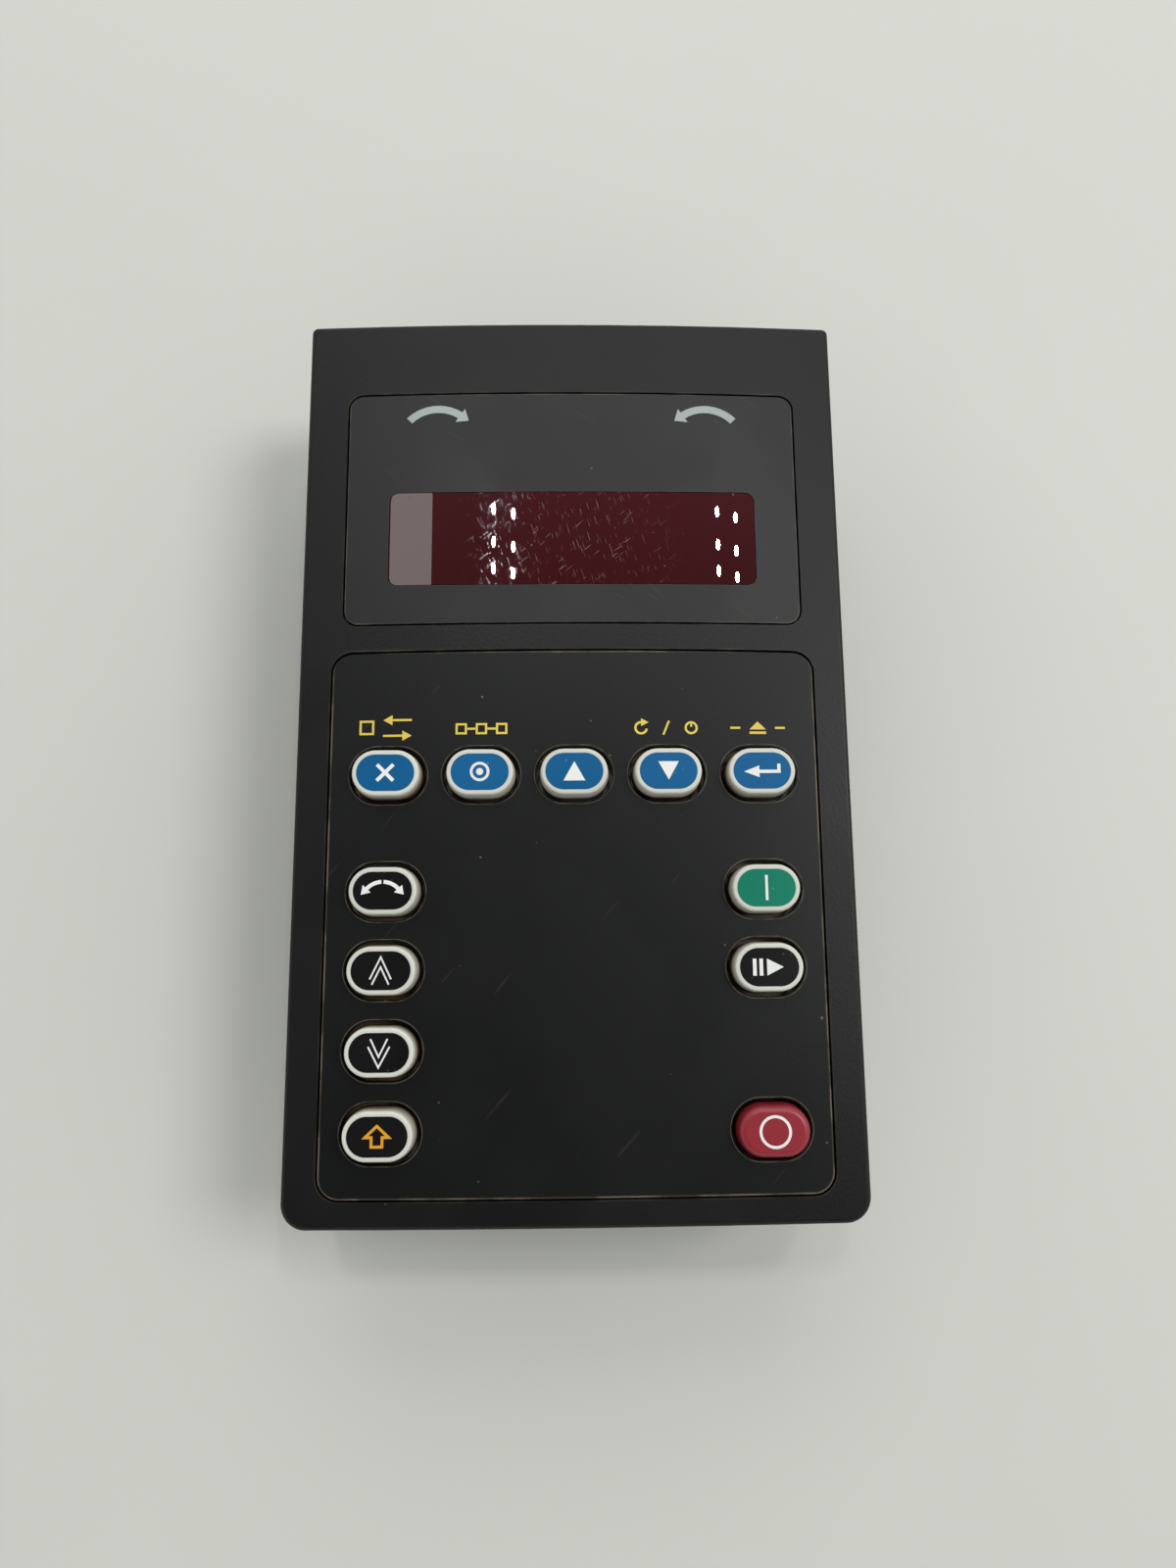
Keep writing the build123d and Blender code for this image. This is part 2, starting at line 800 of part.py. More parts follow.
def chip_lead(thickness):
    """A bent lead that leaves a chip's side along +X and steps up to the board."""
    low = -chip_lift - thickness / 2
    mid = lead_reach / 2
    high = low + lead_thickness
    bend = mid - lead_thickness
    foot = -lead_thickness
    outer = Polyline((0, low), (mid, low), (mid, foot), (lead_reach, foot), (lead_reach, 0))
    inner = Polyline((lead_reach, 0), (bend, 0), (bend, high), (0, high), (0, low))
    return extrude(Plane.XZ * make_face(outer + inner), amount=lead_width / 2, both=True)


def make_chip_leads():
    """The leads of the controller on its four sides and of the drivers on two."""
    leads = []
    lead = chip_lead(controller_thickness)
    for turn in (0, 90, 180, 270):
        at_chip = Pos(*controller_place, board_bottom) * Rot(0, 0, turn)
        for index in range(controller_leads):
            along = (index - (controller_leads - 1) / 2) * controller_lead_pitch
            leads.append(at_chip * Pos(controller_size / 2, along, 0) * lead)
    lead = chip_lead(driver_thickness)
    for place in mirrored(driver_place):
        for turn in (0, 180):
            at_chip = Pos(place[0], place[1], board_bottom) * Rot(0, 0, turn)
            for index in range(driver_leads):
                along = (index - (driver_leads - 1) / 2) * driver_lead_pitch
                leads.append(at_chip * Pos(driver_width / 2, along, 0) * lead)
    return leads


def make_capacitor():
    """A small can capacitor on its square base."""
    base = Pos(*capacitor_place, board_bottom) * Box(
        capacitor_base, capacitor_base, capacitor_base_height, align=(Align.CENTER, Align.CENTER, Align.MAX)
    )
    base = chamfer(base.edges().filter_by(Axis.Z).sort_by(Axis.X)[:2], capacitor_base_height)
    can = post(capacitor_place, capacitor_diameter, board_bottom - capacitor_height, board_bottom)
    return base + fillet(can.faces().sort_by(Axis.Z)[0].edges(), capacitor_base_height / 3)


def make_crystal():
    """The clock crystal's metal can."""
    outline = Pos(*crystal_place) * SlotOverall(crystal_length, crystal_width)
    can = column(outline, board_bottom - crystal_height, board_bottom)
    return fillet(can.faces().sort_by(Axis.Z)[0].edges(), crystal_width / 10)


def make_chip_parts():
    """Small resistors and capacitors in rows on the back of the board."""
    parts = []
    for place in chip_part_rows:
        for index in range(chip_parts_per_row):
            parts.append(
                Pos(place[0], place[1] - index * chip_part_pitch, board_bottom)
                * Box(*chip_part_size, align=(Align.CENTER, Align.CENTER, Align.MAX))
            )
    return parts


def make_nodes():
    """Every piece of the keypad by name."""
    nodes = {
        "front_bezel": make_front_bezel(),
        "display_panel": make_display_panel(),
        "display_window": make_display_window(),
        "keypad_plate": make_keypad_plate(),
        "key_mat": make_key_mat(),
        "key_contacts": make_key_contacts(),
        "main_board": make_main_board(),
        "digit_block_left": make_digit_block(-1),
        "digit_block_right": make_digit_block(1),
        "digit_segments": make_digit_segments(),
        "display_shroud": make_display_shroud(),
        "direction_lamps": make_direction_lamps(),
        "controller_chip": make_controller(),
        "driver_chips": make_drivers(),
        "chip_leads": make_chip_leads(),
        "capacitor": make_capacitor(),
        "crystal": make_crystal(),
        "chip_parts": make_chip_parts(),
        "port_body": make_port_body(),
        "port_shell": make_port_shell(),
        "port_contacts": make_port_contacts(),
        "rear_housing": make_rear_housing(),
        "board_screws": make_board_screws(),
        "case_screws": make_case_screws(),
    }
    for name in key_layout:
        nodes["key_" + name] = make_key(name)
        nodes["pill_" + name] = make_pill(name)
    return nodes


def main():
    os.makedirs("parts", exist_ok=True)
    for name, shape in make_nodes().items():
        pieces = shape if isinstance(shape, list) else shape.solids()
        compound = Compound(label=name, children=[piece.solid() for piece in pieces])
        export_step(compound, "parts/" + name + ".step")


main()
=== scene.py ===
"""Dresses a packed drive keypad: finishes, key insets, printed signs, floor, light and camera."""

import math

import bmesh
import bpy
from bpy.props import FloatProperty, FloatVectorProperty, PointerProperty
from mathutils import Matrix, Vector


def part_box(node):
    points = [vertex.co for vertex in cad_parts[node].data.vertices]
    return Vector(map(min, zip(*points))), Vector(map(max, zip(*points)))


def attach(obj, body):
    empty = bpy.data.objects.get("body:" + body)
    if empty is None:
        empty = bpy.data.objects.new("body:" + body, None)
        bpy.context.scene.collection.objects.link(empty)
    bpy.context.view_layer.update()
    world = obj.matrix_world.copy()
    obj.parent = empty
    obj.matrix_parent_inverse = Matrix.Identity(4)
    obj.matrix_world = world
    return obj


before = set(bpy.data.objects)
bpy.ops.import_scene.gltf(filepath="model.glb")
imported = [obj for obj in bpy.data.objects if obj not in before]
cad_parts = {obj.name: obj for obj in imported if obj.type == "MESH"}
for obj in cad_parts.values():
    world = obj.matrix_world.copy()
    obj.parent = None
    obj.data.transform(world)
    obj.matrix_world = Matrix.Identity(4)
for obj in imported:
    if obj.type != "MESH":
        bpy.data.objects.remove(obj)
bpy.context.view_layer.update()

bl_info = {
    "name": "Drive Keypad Dresser",
    "version": (1, 0, 0),
    "blender": (4, 5, 0),
    "location": "3D View > Sidebar > Keypad",
    "description": "Finishes and prints for a drive keypad, with its stage",
    "category": "Object",
}

MM = 0.001
FACE_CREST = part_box("front_bezel")[1].z
CEILING = 1.3
PRINT_SINK = 0.005 * MM
TOUCHING = 0.001 * MM

# Keys by the finish of their inset
BLUE_KEYS = ("escape", "select", "up", "down", "enter")
BLACK_KEYS = ("direction", "increase", "decrease", "alternate", "jog")
GREEN_KEYS = ("start",)
PLAIN_KEYS = ("stop",)
ALL_KEYS = BLUE_KEYS + BLACK_KEYS + GREEN_KEYS + PLAIN_KEYS


def linear(red, green, blue):
    """A colour given as screen values from 0 to 255, as Blender's shaders take it."""
    channels = []
    for value in (red, green, blue):
        share = value / 255
        channels.append(share / 12.92 if share <= 0.04045 else ((share + 0.055) / 1.055) ** 2.4)
    return tuple(channels)


def colour_property(name, description, screen):
    """A colour that the user can change."""
    return FloatVectorProperty(
        name=name, description=description, subtype="COLOR", size=3, min=0, max=1, default=linear(*screen)
    )


def length_property(name, description, default):
    """A length that the user can change, in metres."""
    return FloatProperty(name=name, description=description, unit="LENGTH", precision=5, default=default)


def angle_property(name, description, degrees):
    """An angle that the user can change, with its default in degrees."""
    return FloatProperty(
        name=name, description=description, subtype="ANGLE", default=math.radians(degrees)
    )


def power_property(name, description, default):
    """A lamp's power that the user can change, in watts."""
    return FloatProperty(name=name, description=description, unit="POWER", default=default, min=0)


class KeypadSizes(bpy.types.PropertyGroup):
    """Sizes of what is printed or laid on the keypad."""

    crown_radius: length_property("Crown radius", "Radius of the gentle crown across the face", 0.6)
    print_thickness: length_property("Print thickness", "Thickness of the printed signs", 0.04 * MM)
    inset_length: length_property("Inset length", "Length of the coloured inset in a key", 6.74 * MM)
    inset_width: length_property("Inset width", "Width of the coloured inset in a key", 4.32 * MM)
    inset_thickness: length_property("Inset thickness", "How far the inset stands on its key", 0.06 * MM)
    inset_edge: length_property("Inset edge", "Rounding round the inset's top", 0.04 * MM)
    bar_height: length_property("Start bar", "Height of the bar on the start key", 2.9 * MM)
    ring_diameter: length_property("Stop ring", "Outer diameter of the ring on the stop key", 3.6 * MM)
    label_rise: length_property("Label rise", "From a key's middle to its label's", 5.55 * MM)
    plate_sink: length_property("Plate sink", "Depth of the keypad plate below the face", 0.18 * MM)
    rim_inset: length_property("Rim inset", "How far the rims lie inside the key flanges", 0.42 * MM)


class KeypadColours(bpy.types.PropertyGroup):
    """Colours of the keypad's finishes."""

    case: colour_property("Case", "Charcoal plastic of the case", (17, 18, 17))
    panel: colour_property("Panel", "Dark grey of the display panel", (34, 35, 34))
    plate: colour_property("Plate", "Near black of the keypad plate", (18, 19, 19))
    window: colour_property("Window", "Dark red of the display window", (60, 8, 14))
    border: colour_property("Key border", "Off-white of the keys", (212, 213, 201))
    blue: colour_property("Blue inset", "Blue of the top row's insets", (0, 92, 143))
    black: colour_property("Black inset", "Black of the side keys' insets", (13, 13, 14))
    green: colour_property("Green inset", "Green of the start key", (2, 122, 95))
    red: colour_property("Stop key", "Red of the stop key", (148, 38, 50))
    white: colour_property("White sign", "White of the signs on the keys", (232, 234, 230))
    yellow: colour_property("Yellow label", "Yellow of the labels over the top row", (228, 202, 78))
    amber: colour_property("Amber sign", "Amber of the alternate key's sign", (226, 160, 32))
    arrow: colour_property("Arrow sign", "Pale grey green of the direction arrows", (160, 172, 170))
    # Dust also colours the key rims' lines, which are part painted highlight.
    dust: colour_property("Dust", "Pale dust in grooves and on flat plastic", (150, 138, 118))
    floor: colour_property("Floor", "Pale warm grey of the surface it lies on", (211, 213, 205))


class KeypadStage(bpy.types.PropertyGroup):
    """The camera and the light."""

    camera_place: FloatVectorProperty(
        name="Camera place",
        description="Where the camera stands",
        subtype="TRANSLATION",
        unit="LENGTH",
        precision=6,
        default=(-0.000817, -0.025699, 0.147941),
    )
    camera_turn: FloatVectorProperty(
        name="Camera turn",
        description="How the camera is turned from looking straight down",
        subtype="EULER",
        default=(math.radians(9.6128), math.radians(-1.0396), math.radians(-0.5301)),
    )
    camera_lens: FloatProperty(
        name="Lens", description="Focal length on a sensor 36 mm long", unit="CAMERA", default=24.3
    )
    around_strength: FloatProperty(
        name="Around", description="Strength of the even light from around", default=0.82, min=0
    )
    overhead_strength: FloatProperty(
        name="Overhead", description="Strength of the light in the dim patch overhead", default=0.08, min=0
    )
    overhead_lean: angle_property("Overhead lean", "How far the dim patch leans towards the foot end", 9)
    overhead_inner: angle_property("Patch core", "Half angle of the patch's dim core", 15)
    overhead_outer: angle_property("Patch rim", "Half angle where the patch ends", 62)
    back_power: power_property("Back lamp", "Power of the soft lamp beyond the top end", 2.2)
    right_power: power_property("Right lamp", "Power of the soft lamp at the right", 19)
    left_power: power_property("Left lamp", "Power of the pale ceiling panel at the left", 0.11)
    bulb_power: power_property("Bulbs", "Power of each small ceiling bulb", 0.26)
    floor_size: length_property("Floor size", "Width of the floor", 3.0)
    floor_gap: length_property("Floor gap", "How far the floor lies under the keypad's back", 0.02 * MM)


def sizes():
    """The sizes that the user has set."""
    return bpy.context.scene.keypad_sizes


def colours():
    """The colours that the user has set."""
    return bpy.context.scene.keypad_colours


# Node helpers


def feed(tree, socket, value):
    """Links an output into a socket, or sets the socket's own value."""
    if isinstance(value, bpy.types.NodeSocket):
        tree.links.new(value, socket)
    elif socket.type == "RGBA" and len(value) == 3:
        socket.default_value = (*value, 1)
    else:
        socket.default_value = value


def add_node(tree, kind, inputs=None, **settings):
    """A node with its settings and inputs."""
    made = tree.nodes.new(kind)
    for name, value in settings.items():
        setattr(made, name, value)
    for name, value in (inputs or {}).items():
        feed(tree, made.inputs[name], value)
    return made


def calc(tree, operation, *values):
    """The output of a math node on sockets or numbers."""
    made = tree.nodes.new("ShaderNodeMath")
    made.operation = operation
    for socket, value in zip(made.inputs, values):
        feed(tree, socket, value)
    return made.outputs[0]


def fade(tree, value, start, end, low=0.0, high=1.0):
    """A smooth step of value from low at start to high at end."""
    inputs = {"Value": value, "From Min": start, "From Max": end, "To Min": low, "To Max": high}
    made = add_node(tree, "ShaderNodeMapRange", inputs, interpolation_type="SMOOTHSTEP")
    return made.outputs["Result"]


def mix_colour(tree, share, first, second):
    """The first colour turning into the second as share goes from 0 to 1."""
    made = add_node(tree, "ShaderNodeMix", data_type="RGBA")
    ends = [socket for socket in made.inputs if socket.type == "RGBA"]
    feed(tree, made.inputs["Factor"], share)
    feed(tree, ends[0], first)
    feed(tree, ends[1], second)
    return next(socket for socket in made.outputs if socket.type == "RGBA")


def object_place(tree):
    """Where a point lies on its piece, as a vector."""
    return add_node(tree, "ShaderNodeTexCoord").outputs["Object"]


def object_axes(tree):
    """Where a point lies on its piece, along X, Y and Z."""
    return add_node(tree, "ShaderNodeSeparateXYZ", {"Vector": object_place(tree)}).outputs


def new_group(name, inputs, outputs):
    """An empty node group with named number inputs and outputs."""
    group = bpy.data.node_groups.new(name, "ShaderNodeTree")
    for label, default in inputs.items():
        socket = group.interface.new_socket(label, in_out="INPUT", socket_type="NodeSocketFloat")
        socket.default_value = default
    for label in outputs:
        group.interface.new_socket(label, in_out="OUTPUT", socket_type="NodeSocketFloat")
    return group, group.nodes.new("NodeGroupInput").outputs, group.nodes.new("NodeGroupOutput").inputs


def use_group(tree, group, **inputs):
    """Places a shared group in a material with its own values."""
    made = tree.nodes.new("ShaderNodeGroup")
    made.node_tree = group
    for name, value in inputs.items():
        feed(tree, made.inputs[name.replace("_", " ").capitalize()], value)
    return made.outputs


def shared(name, build):
    """A shared group, built the first time that it is asked for."""
    return bpy.data.node_groups.get(name) or build(name)


# Shared node groups


def build_grain(name):
    """Fine spark-eroded grain of moulded plastic."""
    group, given, result = new_group(name, {"Scale": 3000.0}, ["Height", "Patches"])
    place = object_place(group)
    noise = add_node(group, "ShaderNodeTexNoise", {"Vector": place, "Scale": given["Scale"], "Detail": 2.0})
    patch_scale = calc(group, "MULTIPLY", given["Scale"], 0.02)
    patches = add_node(group, "ShaderNodeTexNoise", {"Vector": place, "Scale": patch_scale, "Detail": 3.0})
    feed(group, result["Height"], noise.outputs["Fac"])
    feed(group, result["Patches"], fade(group, patches.outputs["Fac"], 0.35, 0.65))
    return group


def build_specks(name):
    """Scattered specks of dust, most of them tiny."""
    group, given, result = new_group(name, {"Scale": 350.0, "Size": 0.2}, ["Mask"])
    cells = add_node(group, "ShaderNodeTexVoronoi", {"Vector": object_place(group), "Scale": given["Scale"]})
    chance = add_node(group, "ShaderNodeSeparateColor", {"Color": cells.outputs["Color"]}).outputs["Red"]
    reach = calc(group, "MULTIPLY", calc(group, "POWER", chance, 6.0), given["Size"])
    share = calc(group, "DIVIDE", cells.outputs["Distance"], calc(group, "MAXIMUM", reach, 0.001))
    feed(group, result["Mask"], fade(group, share, 1.0, 0.6))
    return group


def build_scratches(name):
    """Sparse fine scratches that lean by an angle."""
    inputs = {"Angle": 0.0, "Scale": 60.0, "Thinness": 30.0, "Rarity": 0.68}
    group, given, result = new_group(name, inputs, ["Mask"])
    turned = add_node(
        group,
        "ShaderNodeVectorRotate",
        {"Vector": object_place(group), "Angle": given["Angle"]},
        rotation_type="Z_AXIS",
    )
    stretch = add_node(group, "ShaderNodeCombineXYZ", {"X": 1.0, "Y": given["Thinness"], "Z": 1.0})
    spread = add_node(
        group,
        "ShaderNodeVectorMath",
        {0: turned.outputs["Vector"], 1: stretch.outputs["Vector"]},
        operation="MULTIPLY",
    )
    noise = add_node(
        group,
        "ShaderNodeTexNoise",
        {"Vector": spread.outputs["Vector"], "Scale": given["Scale"], "Detail": 1.0, "Distortion": 0.2},
    )
    top = calc(group, "ADD", given["Rarity"], 0.04)
    feed(group, result["Mask"], fade(group, noise.outputs["Fac"], given["Rarity"], top))
    return group


def build_outline(name):
    """A soft line along the outline of a rounded rectangle, broken up by noise."""
    inputs = {
        "Centre x": 0.0,
        "Centre y": 0.0,
        "Half width": 0.01,
        "Half length": 0.01,
        "Corner": 0.002,
        "Band": 0.0003,
        "Gaps": 0.0,
    }
    group, given, result = new_group(name, inputs, ["Mask"])
    place = object_axes(group)
    across = calc(group, "ABSOLUTE", calc(group, "SUBTRACT", place["X"], given["Centre x"]))
    along = calc(group, "ABSOLUTE", calc(group, "SUBTRACT", place["Y"], given["Centre y"]))
    inner_width = calc(group, "SUBTRACT", given["Half width"], given["Corner"])
    inner_length = calc(group, "SUBTRACT", given["Half length"], given["Corner"])
    past_x = calc(group, "SUBTRACT", across, inner_width)
    past_y = calc(group, "SUBTRACT", along, inner_length)
    out_x = calc(group, "MAXIMUM", past_x, 0.0)
    out_y = calc(group, "MAXIMUM", past_y, 0.0)
    square = calc(group, "ADD", calc(group, "MULTIPLY", out_x, out_x), calc(group, "MULTIPLY", out_y, out_y))
    inside = calc(group, "MINIMUM", calc(group, "MAXIMUM", past_x, past_y), 0.0)
    distance = calc(group, "ADD", calc(group, "SQRT", square), inside)
    distance = calc(group, "ABSOLUTE", calc(group, "SUBTRACT", distance, given["Corner"]))
    line = fade(group, distance, given["Band"], 0.0)
    noise = add_node(
        group, "ShaderNodeTexNoise", {"Vector": object_place(group), "Scale": 260.0, "Detail": 4.0}
    )
    broken = fade(group, noise.outputs["Fac"], 0.42, 0.62)
    lost = calc(group, "MULTIPLY", given["Gaps"], calc(group, "SUBTRACT", 1.0, broken))
    kept = calc(group, "SUBTRACT", 1.0, lost)
    feed(group, result["Mask"], calc(group, "MULTIPLY", line, kept))
    return group


def grain(tree, scale):
    """The grain group's outputs at a scale."""
    return use_group(tree, shared("moulded_grain", build_grain), scale=scale)


def specks(tree, scale, size):
    """A mask of dust specks."""
    return use_group(tree, shared("dust_specks", build_specks), scale=scale, size=size)["Mask"]


def scratches(tree, degrees, scale, thinness, rarity):
    """A mask of fine scratches that lean by some degrees."""
    group = shared("fine_scratches", build_scratches)
    angle = math.radians(degrees)
    return use_group(tree, group, angle=angle, scale=scale, thinness=thinness, rarity=rarity)["Mask"]


def outline_of(tree, node, corner, band, gaps, grow=0.0):
    """The outline group set to a node's place in plan."""
    low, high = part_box(node)
    group = shared("outline_line", build_outline)
    return use_group(
        tree,
        group,
        centre_x=(low.x + high.x) / 2,
        centre_y=(low.y + high.y) / 2,
        half_width=(high.x - low.x) / 2 + grow,
        half_length=(high.y - low.y) / 2 + grow,
        corner=corner,
        band=band,
        gaps=gaps,
    )["Mask"]


# Materials


def new_material(name, colour, roughness, metallic=0.0, specular=0.5):
    """A material with its Principled shader's plain values set."""
    material = bpy.data.materials.new(name)
    material.use_nodes = True
    tree = material.node_tree
    shader = tree.nodes["Principled BSDF"]
    shader.inputs["Base Color"].default_value = (*colour, 1)
    shader.inputs["Roughness"].default_value = roughness
    shader.inputs["Metallic"].default_value = metallic
    shader.inputs["Specular IOR Level"].default_value = specular
    return material, tree, shader


def dress(tree, shader, colour, roughness, height, strength, distance):
    """Feeds a finish's colour, roughness and height into its shader."""
    feed(tree, shader.inputs["Base Color"], colour)
    feed(tree, shader.inputs["Roughness"], roughness)
    inputs = {"Height": height, "Strength": strength, "Distance": distance}
    bumps = add_node(tree, "ShaderNodeBump", inputs)
    feed(tree, shader.inputs["Normal"], bumps.outputs["Normal"])


def shade(colour, share):
    """The colour made lighter or darker by a share."""
    return tuple(min(channel * share, 1.0) for channel in colour)


def moulded_finish(name, colour, roughness, grain_scale=3000.0, grain_depth=0.02 * MM, variation=0.12):
    """Plain moulded plastic or rubber: fine grain and faint patches of colour and gloss."""
    material, tree, shader = new_material(name, colour, roughness)
    texture = grain(tree, grain_scale)
    toned = mix_colour(tree, texture["Patches"], shade(colour, 1 - variation), shade(colour, 1 + variation))
    rough = fade(tree, texture["Patches"], 0.0, 1.0, roughness - 0.05, roughness + 0.05)
    dress(tree, shader, toned, rough, texture["Height"], 0.6, grain_depth)
    return material


def metal_finish(name, colour, roughness, brushing=40.0):
    """Plated or tinned metal with faint drawn lines and dull patches."""
    material, tree, shader = new_material(name, colour, roughness, metallic=1.0)
    texture = grain(tree, 1800.0)
    lines = scratches(tree, degrees=20.0, scale=90.0, thinness=brushing, rarity=0.5)
    dull = calc(tree, "MAXIMUM", lines, texture["Patches"])
    toned = mix_colour(tree, dull, colour, shade(colour, 0.78))
    rough = fade(tree, dull, 0.0, 1.0, roughness, roughness + 0.15)
    dress(tree, shader, toned, rough, lines, 0.2, 0.01 * MM)
    return material


def case_finish():
    """Charcoal plastic with spark grain, dust round its recesses and a few specks."""
    colour = tuple(colours().case)
    material, tree, shader = new_material("case_charcoal", colour, 0.42, specular=0.24)
    texture = grain(tree, 2600.0)
    toned = mix_colour(tree, texture["Patches"], shade(colour, 0.92), shade(colour, 1.08))
    plate_line = outline_of(
        tree, "keypad_plate", corner=2.5 * MM, band=0.28 * MM, gaps=0.75, grow=0.15 * MM
    )
    panel_line = outline_of(
        tree, "display_panel", corner=1.9 * MM, band=0.2 * MM, gaps=0.85, grow=0.2 * MM
    )
    dust_line = calc(tree, "MAXIMUM", plate_line, panel_line)
    height = object_axes(tree)["Z"]
    on_face = fade(tree, height, face_low() - 0.3 * MM, face_low())
    dusty = calc(tree, "MULTIPLY", calc(tree, "MULTIPLY", dust_line, on_face), 0.12)
    scatter = calc(tree, "MULTIPLY", specks(tree, 380.0, 0.08), 0.35)
    dirt = calc(tree, "MAXIMUM", dusty, scatter)
    toned = mix_colour(tree, dirt, toned, tuple(colours().dust))
    rough = fade(tree, texture["Patches"], 0.0, 1.0, 0.38, 0.44)
    rough = calc(tree, "ADD", rough, calc(tree, "MULTIPLY", dirt, 0.3))
    dress(tree, shader, toned, rough, texture["Height"], 0.5, 0.03 * MM)
    return material


def panel_finish():
    """Satin dark grey with hairline scratches and a lighter, dust-coloured line along its edge."""
    colour = tuple(colours().panel)
    material, tree, shader = new_material("panel_grey", colour, 0.42, specular=0.26)
    texture = grain(tree, 3200.0)
    toned = mix_colour(tree, texture["Patches"], shade(colour, 0.93), shade(colour, 1.07))
    edge = outline_of(tree, "display_panel", corner=1.7 * MM, band=0.16 * MM, gaps=0.7)
    window_edge = outline_of(
        tree, "display_window", corner=1.3 * MM, band=0.12 * MM, gaps=0.6, grow=-1.0 * MM
    )
    lines = scratches(tree, degrees=35.0, scale=140.0, thinness=14.0, rarity=0.73)
    scatter = specks(tree, 400.0, 0.09)
    edge_lines = calc(tree, "MAXIMUM", edge, calc(tree, "MULTIPLY", window_edge, 0.4))
    marks = calc(tree, "MAXIMUM", edge_lines, calc(tree, "MAXIMUM", calc(tree, "MULTIPLY", lines, 0.1), scatter))
    toned = mix_colour(tree, calc(tree, "MULTIPLY", marks, 0.35), toned, tuple(colours().dust))
    rough = fade(tree, texture["Patches"], 0.0, 1.0, 0.36, 0.46)
    dress(tree, shader, toned, rough, texture["Height"], 0.35, 0.015 * MM)
    return material


def key_rim_masks(tree):
    """A broken light line round each opening's step, part dust and part painted highlight on its edge, and
    all that lies inside that line, where the plate gets painted shade in the gap round the key.
    """
    place = object_axes(tree)
    x = place["X"]
    y = place["Y"]
    start_middle = key_middle("start")
    column_pitch = key_middle("down").x - key_middle("up").x
    row_pitch = key_middle("increase").y - key_middle("decrease").y
    flange_low, flange_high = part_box("key_up")
    half_length = (flange_high.x - flange_low.x) / 2 - sizes().rim_inset
    radius = (flange_high.y - flange_low.y) / 2 - sizes().rim_inset
    line_half = 0.08 * MM
    line_core = 0.02 * MM
    line_to_gap_shade = 0.03 * MM
    row_x = calc(tree, "WRAP", x, column_pitch / 2, -column_pitch / 2)
    row_y = calc(tree, "SUBTRACT", y, key_middle("up").y)
    row_half = len(BLUE_KEYS) / 2 * column_pitch
    in_row = calc(tree, "LESS_THAN", calc(tree, "ABSOLUTE", x), row_half)
    side_x = calc(tree, "SUBTRACT", calc(tree, "ABSOLUTE", x), start_middle.x)
    side_y = calc(tree, "WRAP", calc(tree, "SUBTRACT", y, start_middle.y), row_pitch / 2, -row_pitch / 2)
    in_columns = calc(tree, "LESS_THAN", y, start_middle.y + row_pitch / 2)
    above_foot = calc(tree, "GREATER_THAN", y, key_middle("stop").y - row_pitch / 2)
    in_columns = calc(tree, "MULTIPLY", in_columns, above_foot)
    empty_place = calc(tree, "ABSOLUTE", calc(tree, "SUBTRACT", y, key_middle("decrease").y))
    empty_place = calc(tree, "LESS_THAN", empty_place, row_pitch / 2)
    empty_place = calc(tree, "MULTIPLY", empty_place, calc(tree, "GREATER_THAN", x, 0.0))
    in_columns = calc(tree, "MULTIPLY", in_columns, calc(tree, "SUBTRACT", 1.0, empty_place))
    lines = []
    painted_gap_shades = []
    for across, along, where in ((row_x, row_y, in_row), (side_x, side_y, in_columns)):
        straight = calc(tree, "SUBTRACT", calc(tree, "ABSOLUTE", across), half_length - radius)
        past = calc(tree, "MAXIMUM", straight, 0.0)
        square = calc(tree, "ADD", calc(tree, "MULTIPLY", past, past), calc(tree, "MULTIPLY", along, along))
        distance = calc(tree, "SUBTRACT", calc(tree, "SQRT", square), radius)
        line = fade(tree, calc(tree, "ABSOLUTE", distance), line_half, line_core)
        lines.append(calc(tree, "MULTIPLY", line, where))
        # Painted shade: everything inside the rim line, the gap round each key, is marked to be darkened.
        painted_gap_shade = calc(tree, "LESS_THAN", distance, -line_to_gap_shade)
        painted_gap_shades.append(calc(tree, "MULTIPLY", painted_gap_shade, where))
    inputs = {"Vector": object_place(tree), "Scale": 700.0, "Detail": 3.0}
    noise = add_node(tree, "ShaderNodeTexNoise", inputs)
    worn = fade(tree, noise.outputs["Fac"], 0.35, 0.6, 0.35, 1.0)
    # The rim lines are part dust and part painted highlight on the openings' edges.
    rims = calc(tree, "MULTIPLY", calc(tree, "MAXIMUM", *lines), worn)
    return rims, calc(tree, "MAXIMUM", *painted_gap_shades)


def plate_finish():
    """Near-black satin plate with dust along its edge, key rims of dust and painted highlight, painted shade
    in the gaps round the keys, specks and scuffs.
    """
    colour = tuple(colours().plate)
    material, tree, shader = new_material("plate_black", colour, 0.4, specular=0.22)
    texture = grain(tree, 3200.0)
    toned = mix_colour(tree, texture["Patches"], shade(colour, 0.96), shade(colour, 1.04))
    edge = outline_of(tree, "keypad_plate", corner=2.4 * MM, band=0.24 * MM, gaps=0.7)
    rims, inside = key_rim_masks(tree)
    # Painted shade: the plate is darkened to a quarter inside the rims, in the gap round each key.
    toned = mix_colour(tree, inside, toned, shade(colour, 0.25))
    # The rim lines, part dust and part painted highlight, are mixed into the dust colour.
    rims = calc(tree, "MULTIPLY", rims, 0.7)
    scatter = calc(tree, "MULTIPLY", specks(tree, 460.0, 0.1), 0.7)
    lines = scratches(tree, degrees=-50.0, scale=120.0, thinness=12.0, rarity=0.74)
    lines = calc(tree, "MULTIPLY", lines, 0.07)
    marks = calc(tree, "MAXIMUM", calc(tree, "MAXIMUM", edge, rims), calc(tree, "MAXIMUM", scatter, lines))
    toned = mix_colour(tree, calc(tree, "MULTIPLY", marks, 0.62), toned, tuple(colours().dust))
    rough = fade(tree, texture["Patches"], 0.0, 1.0, 0.38, 0.42)
    dress(tree, shader, toned, rough, texture["Height"], 0.4, 0.015 * MM)
    return material


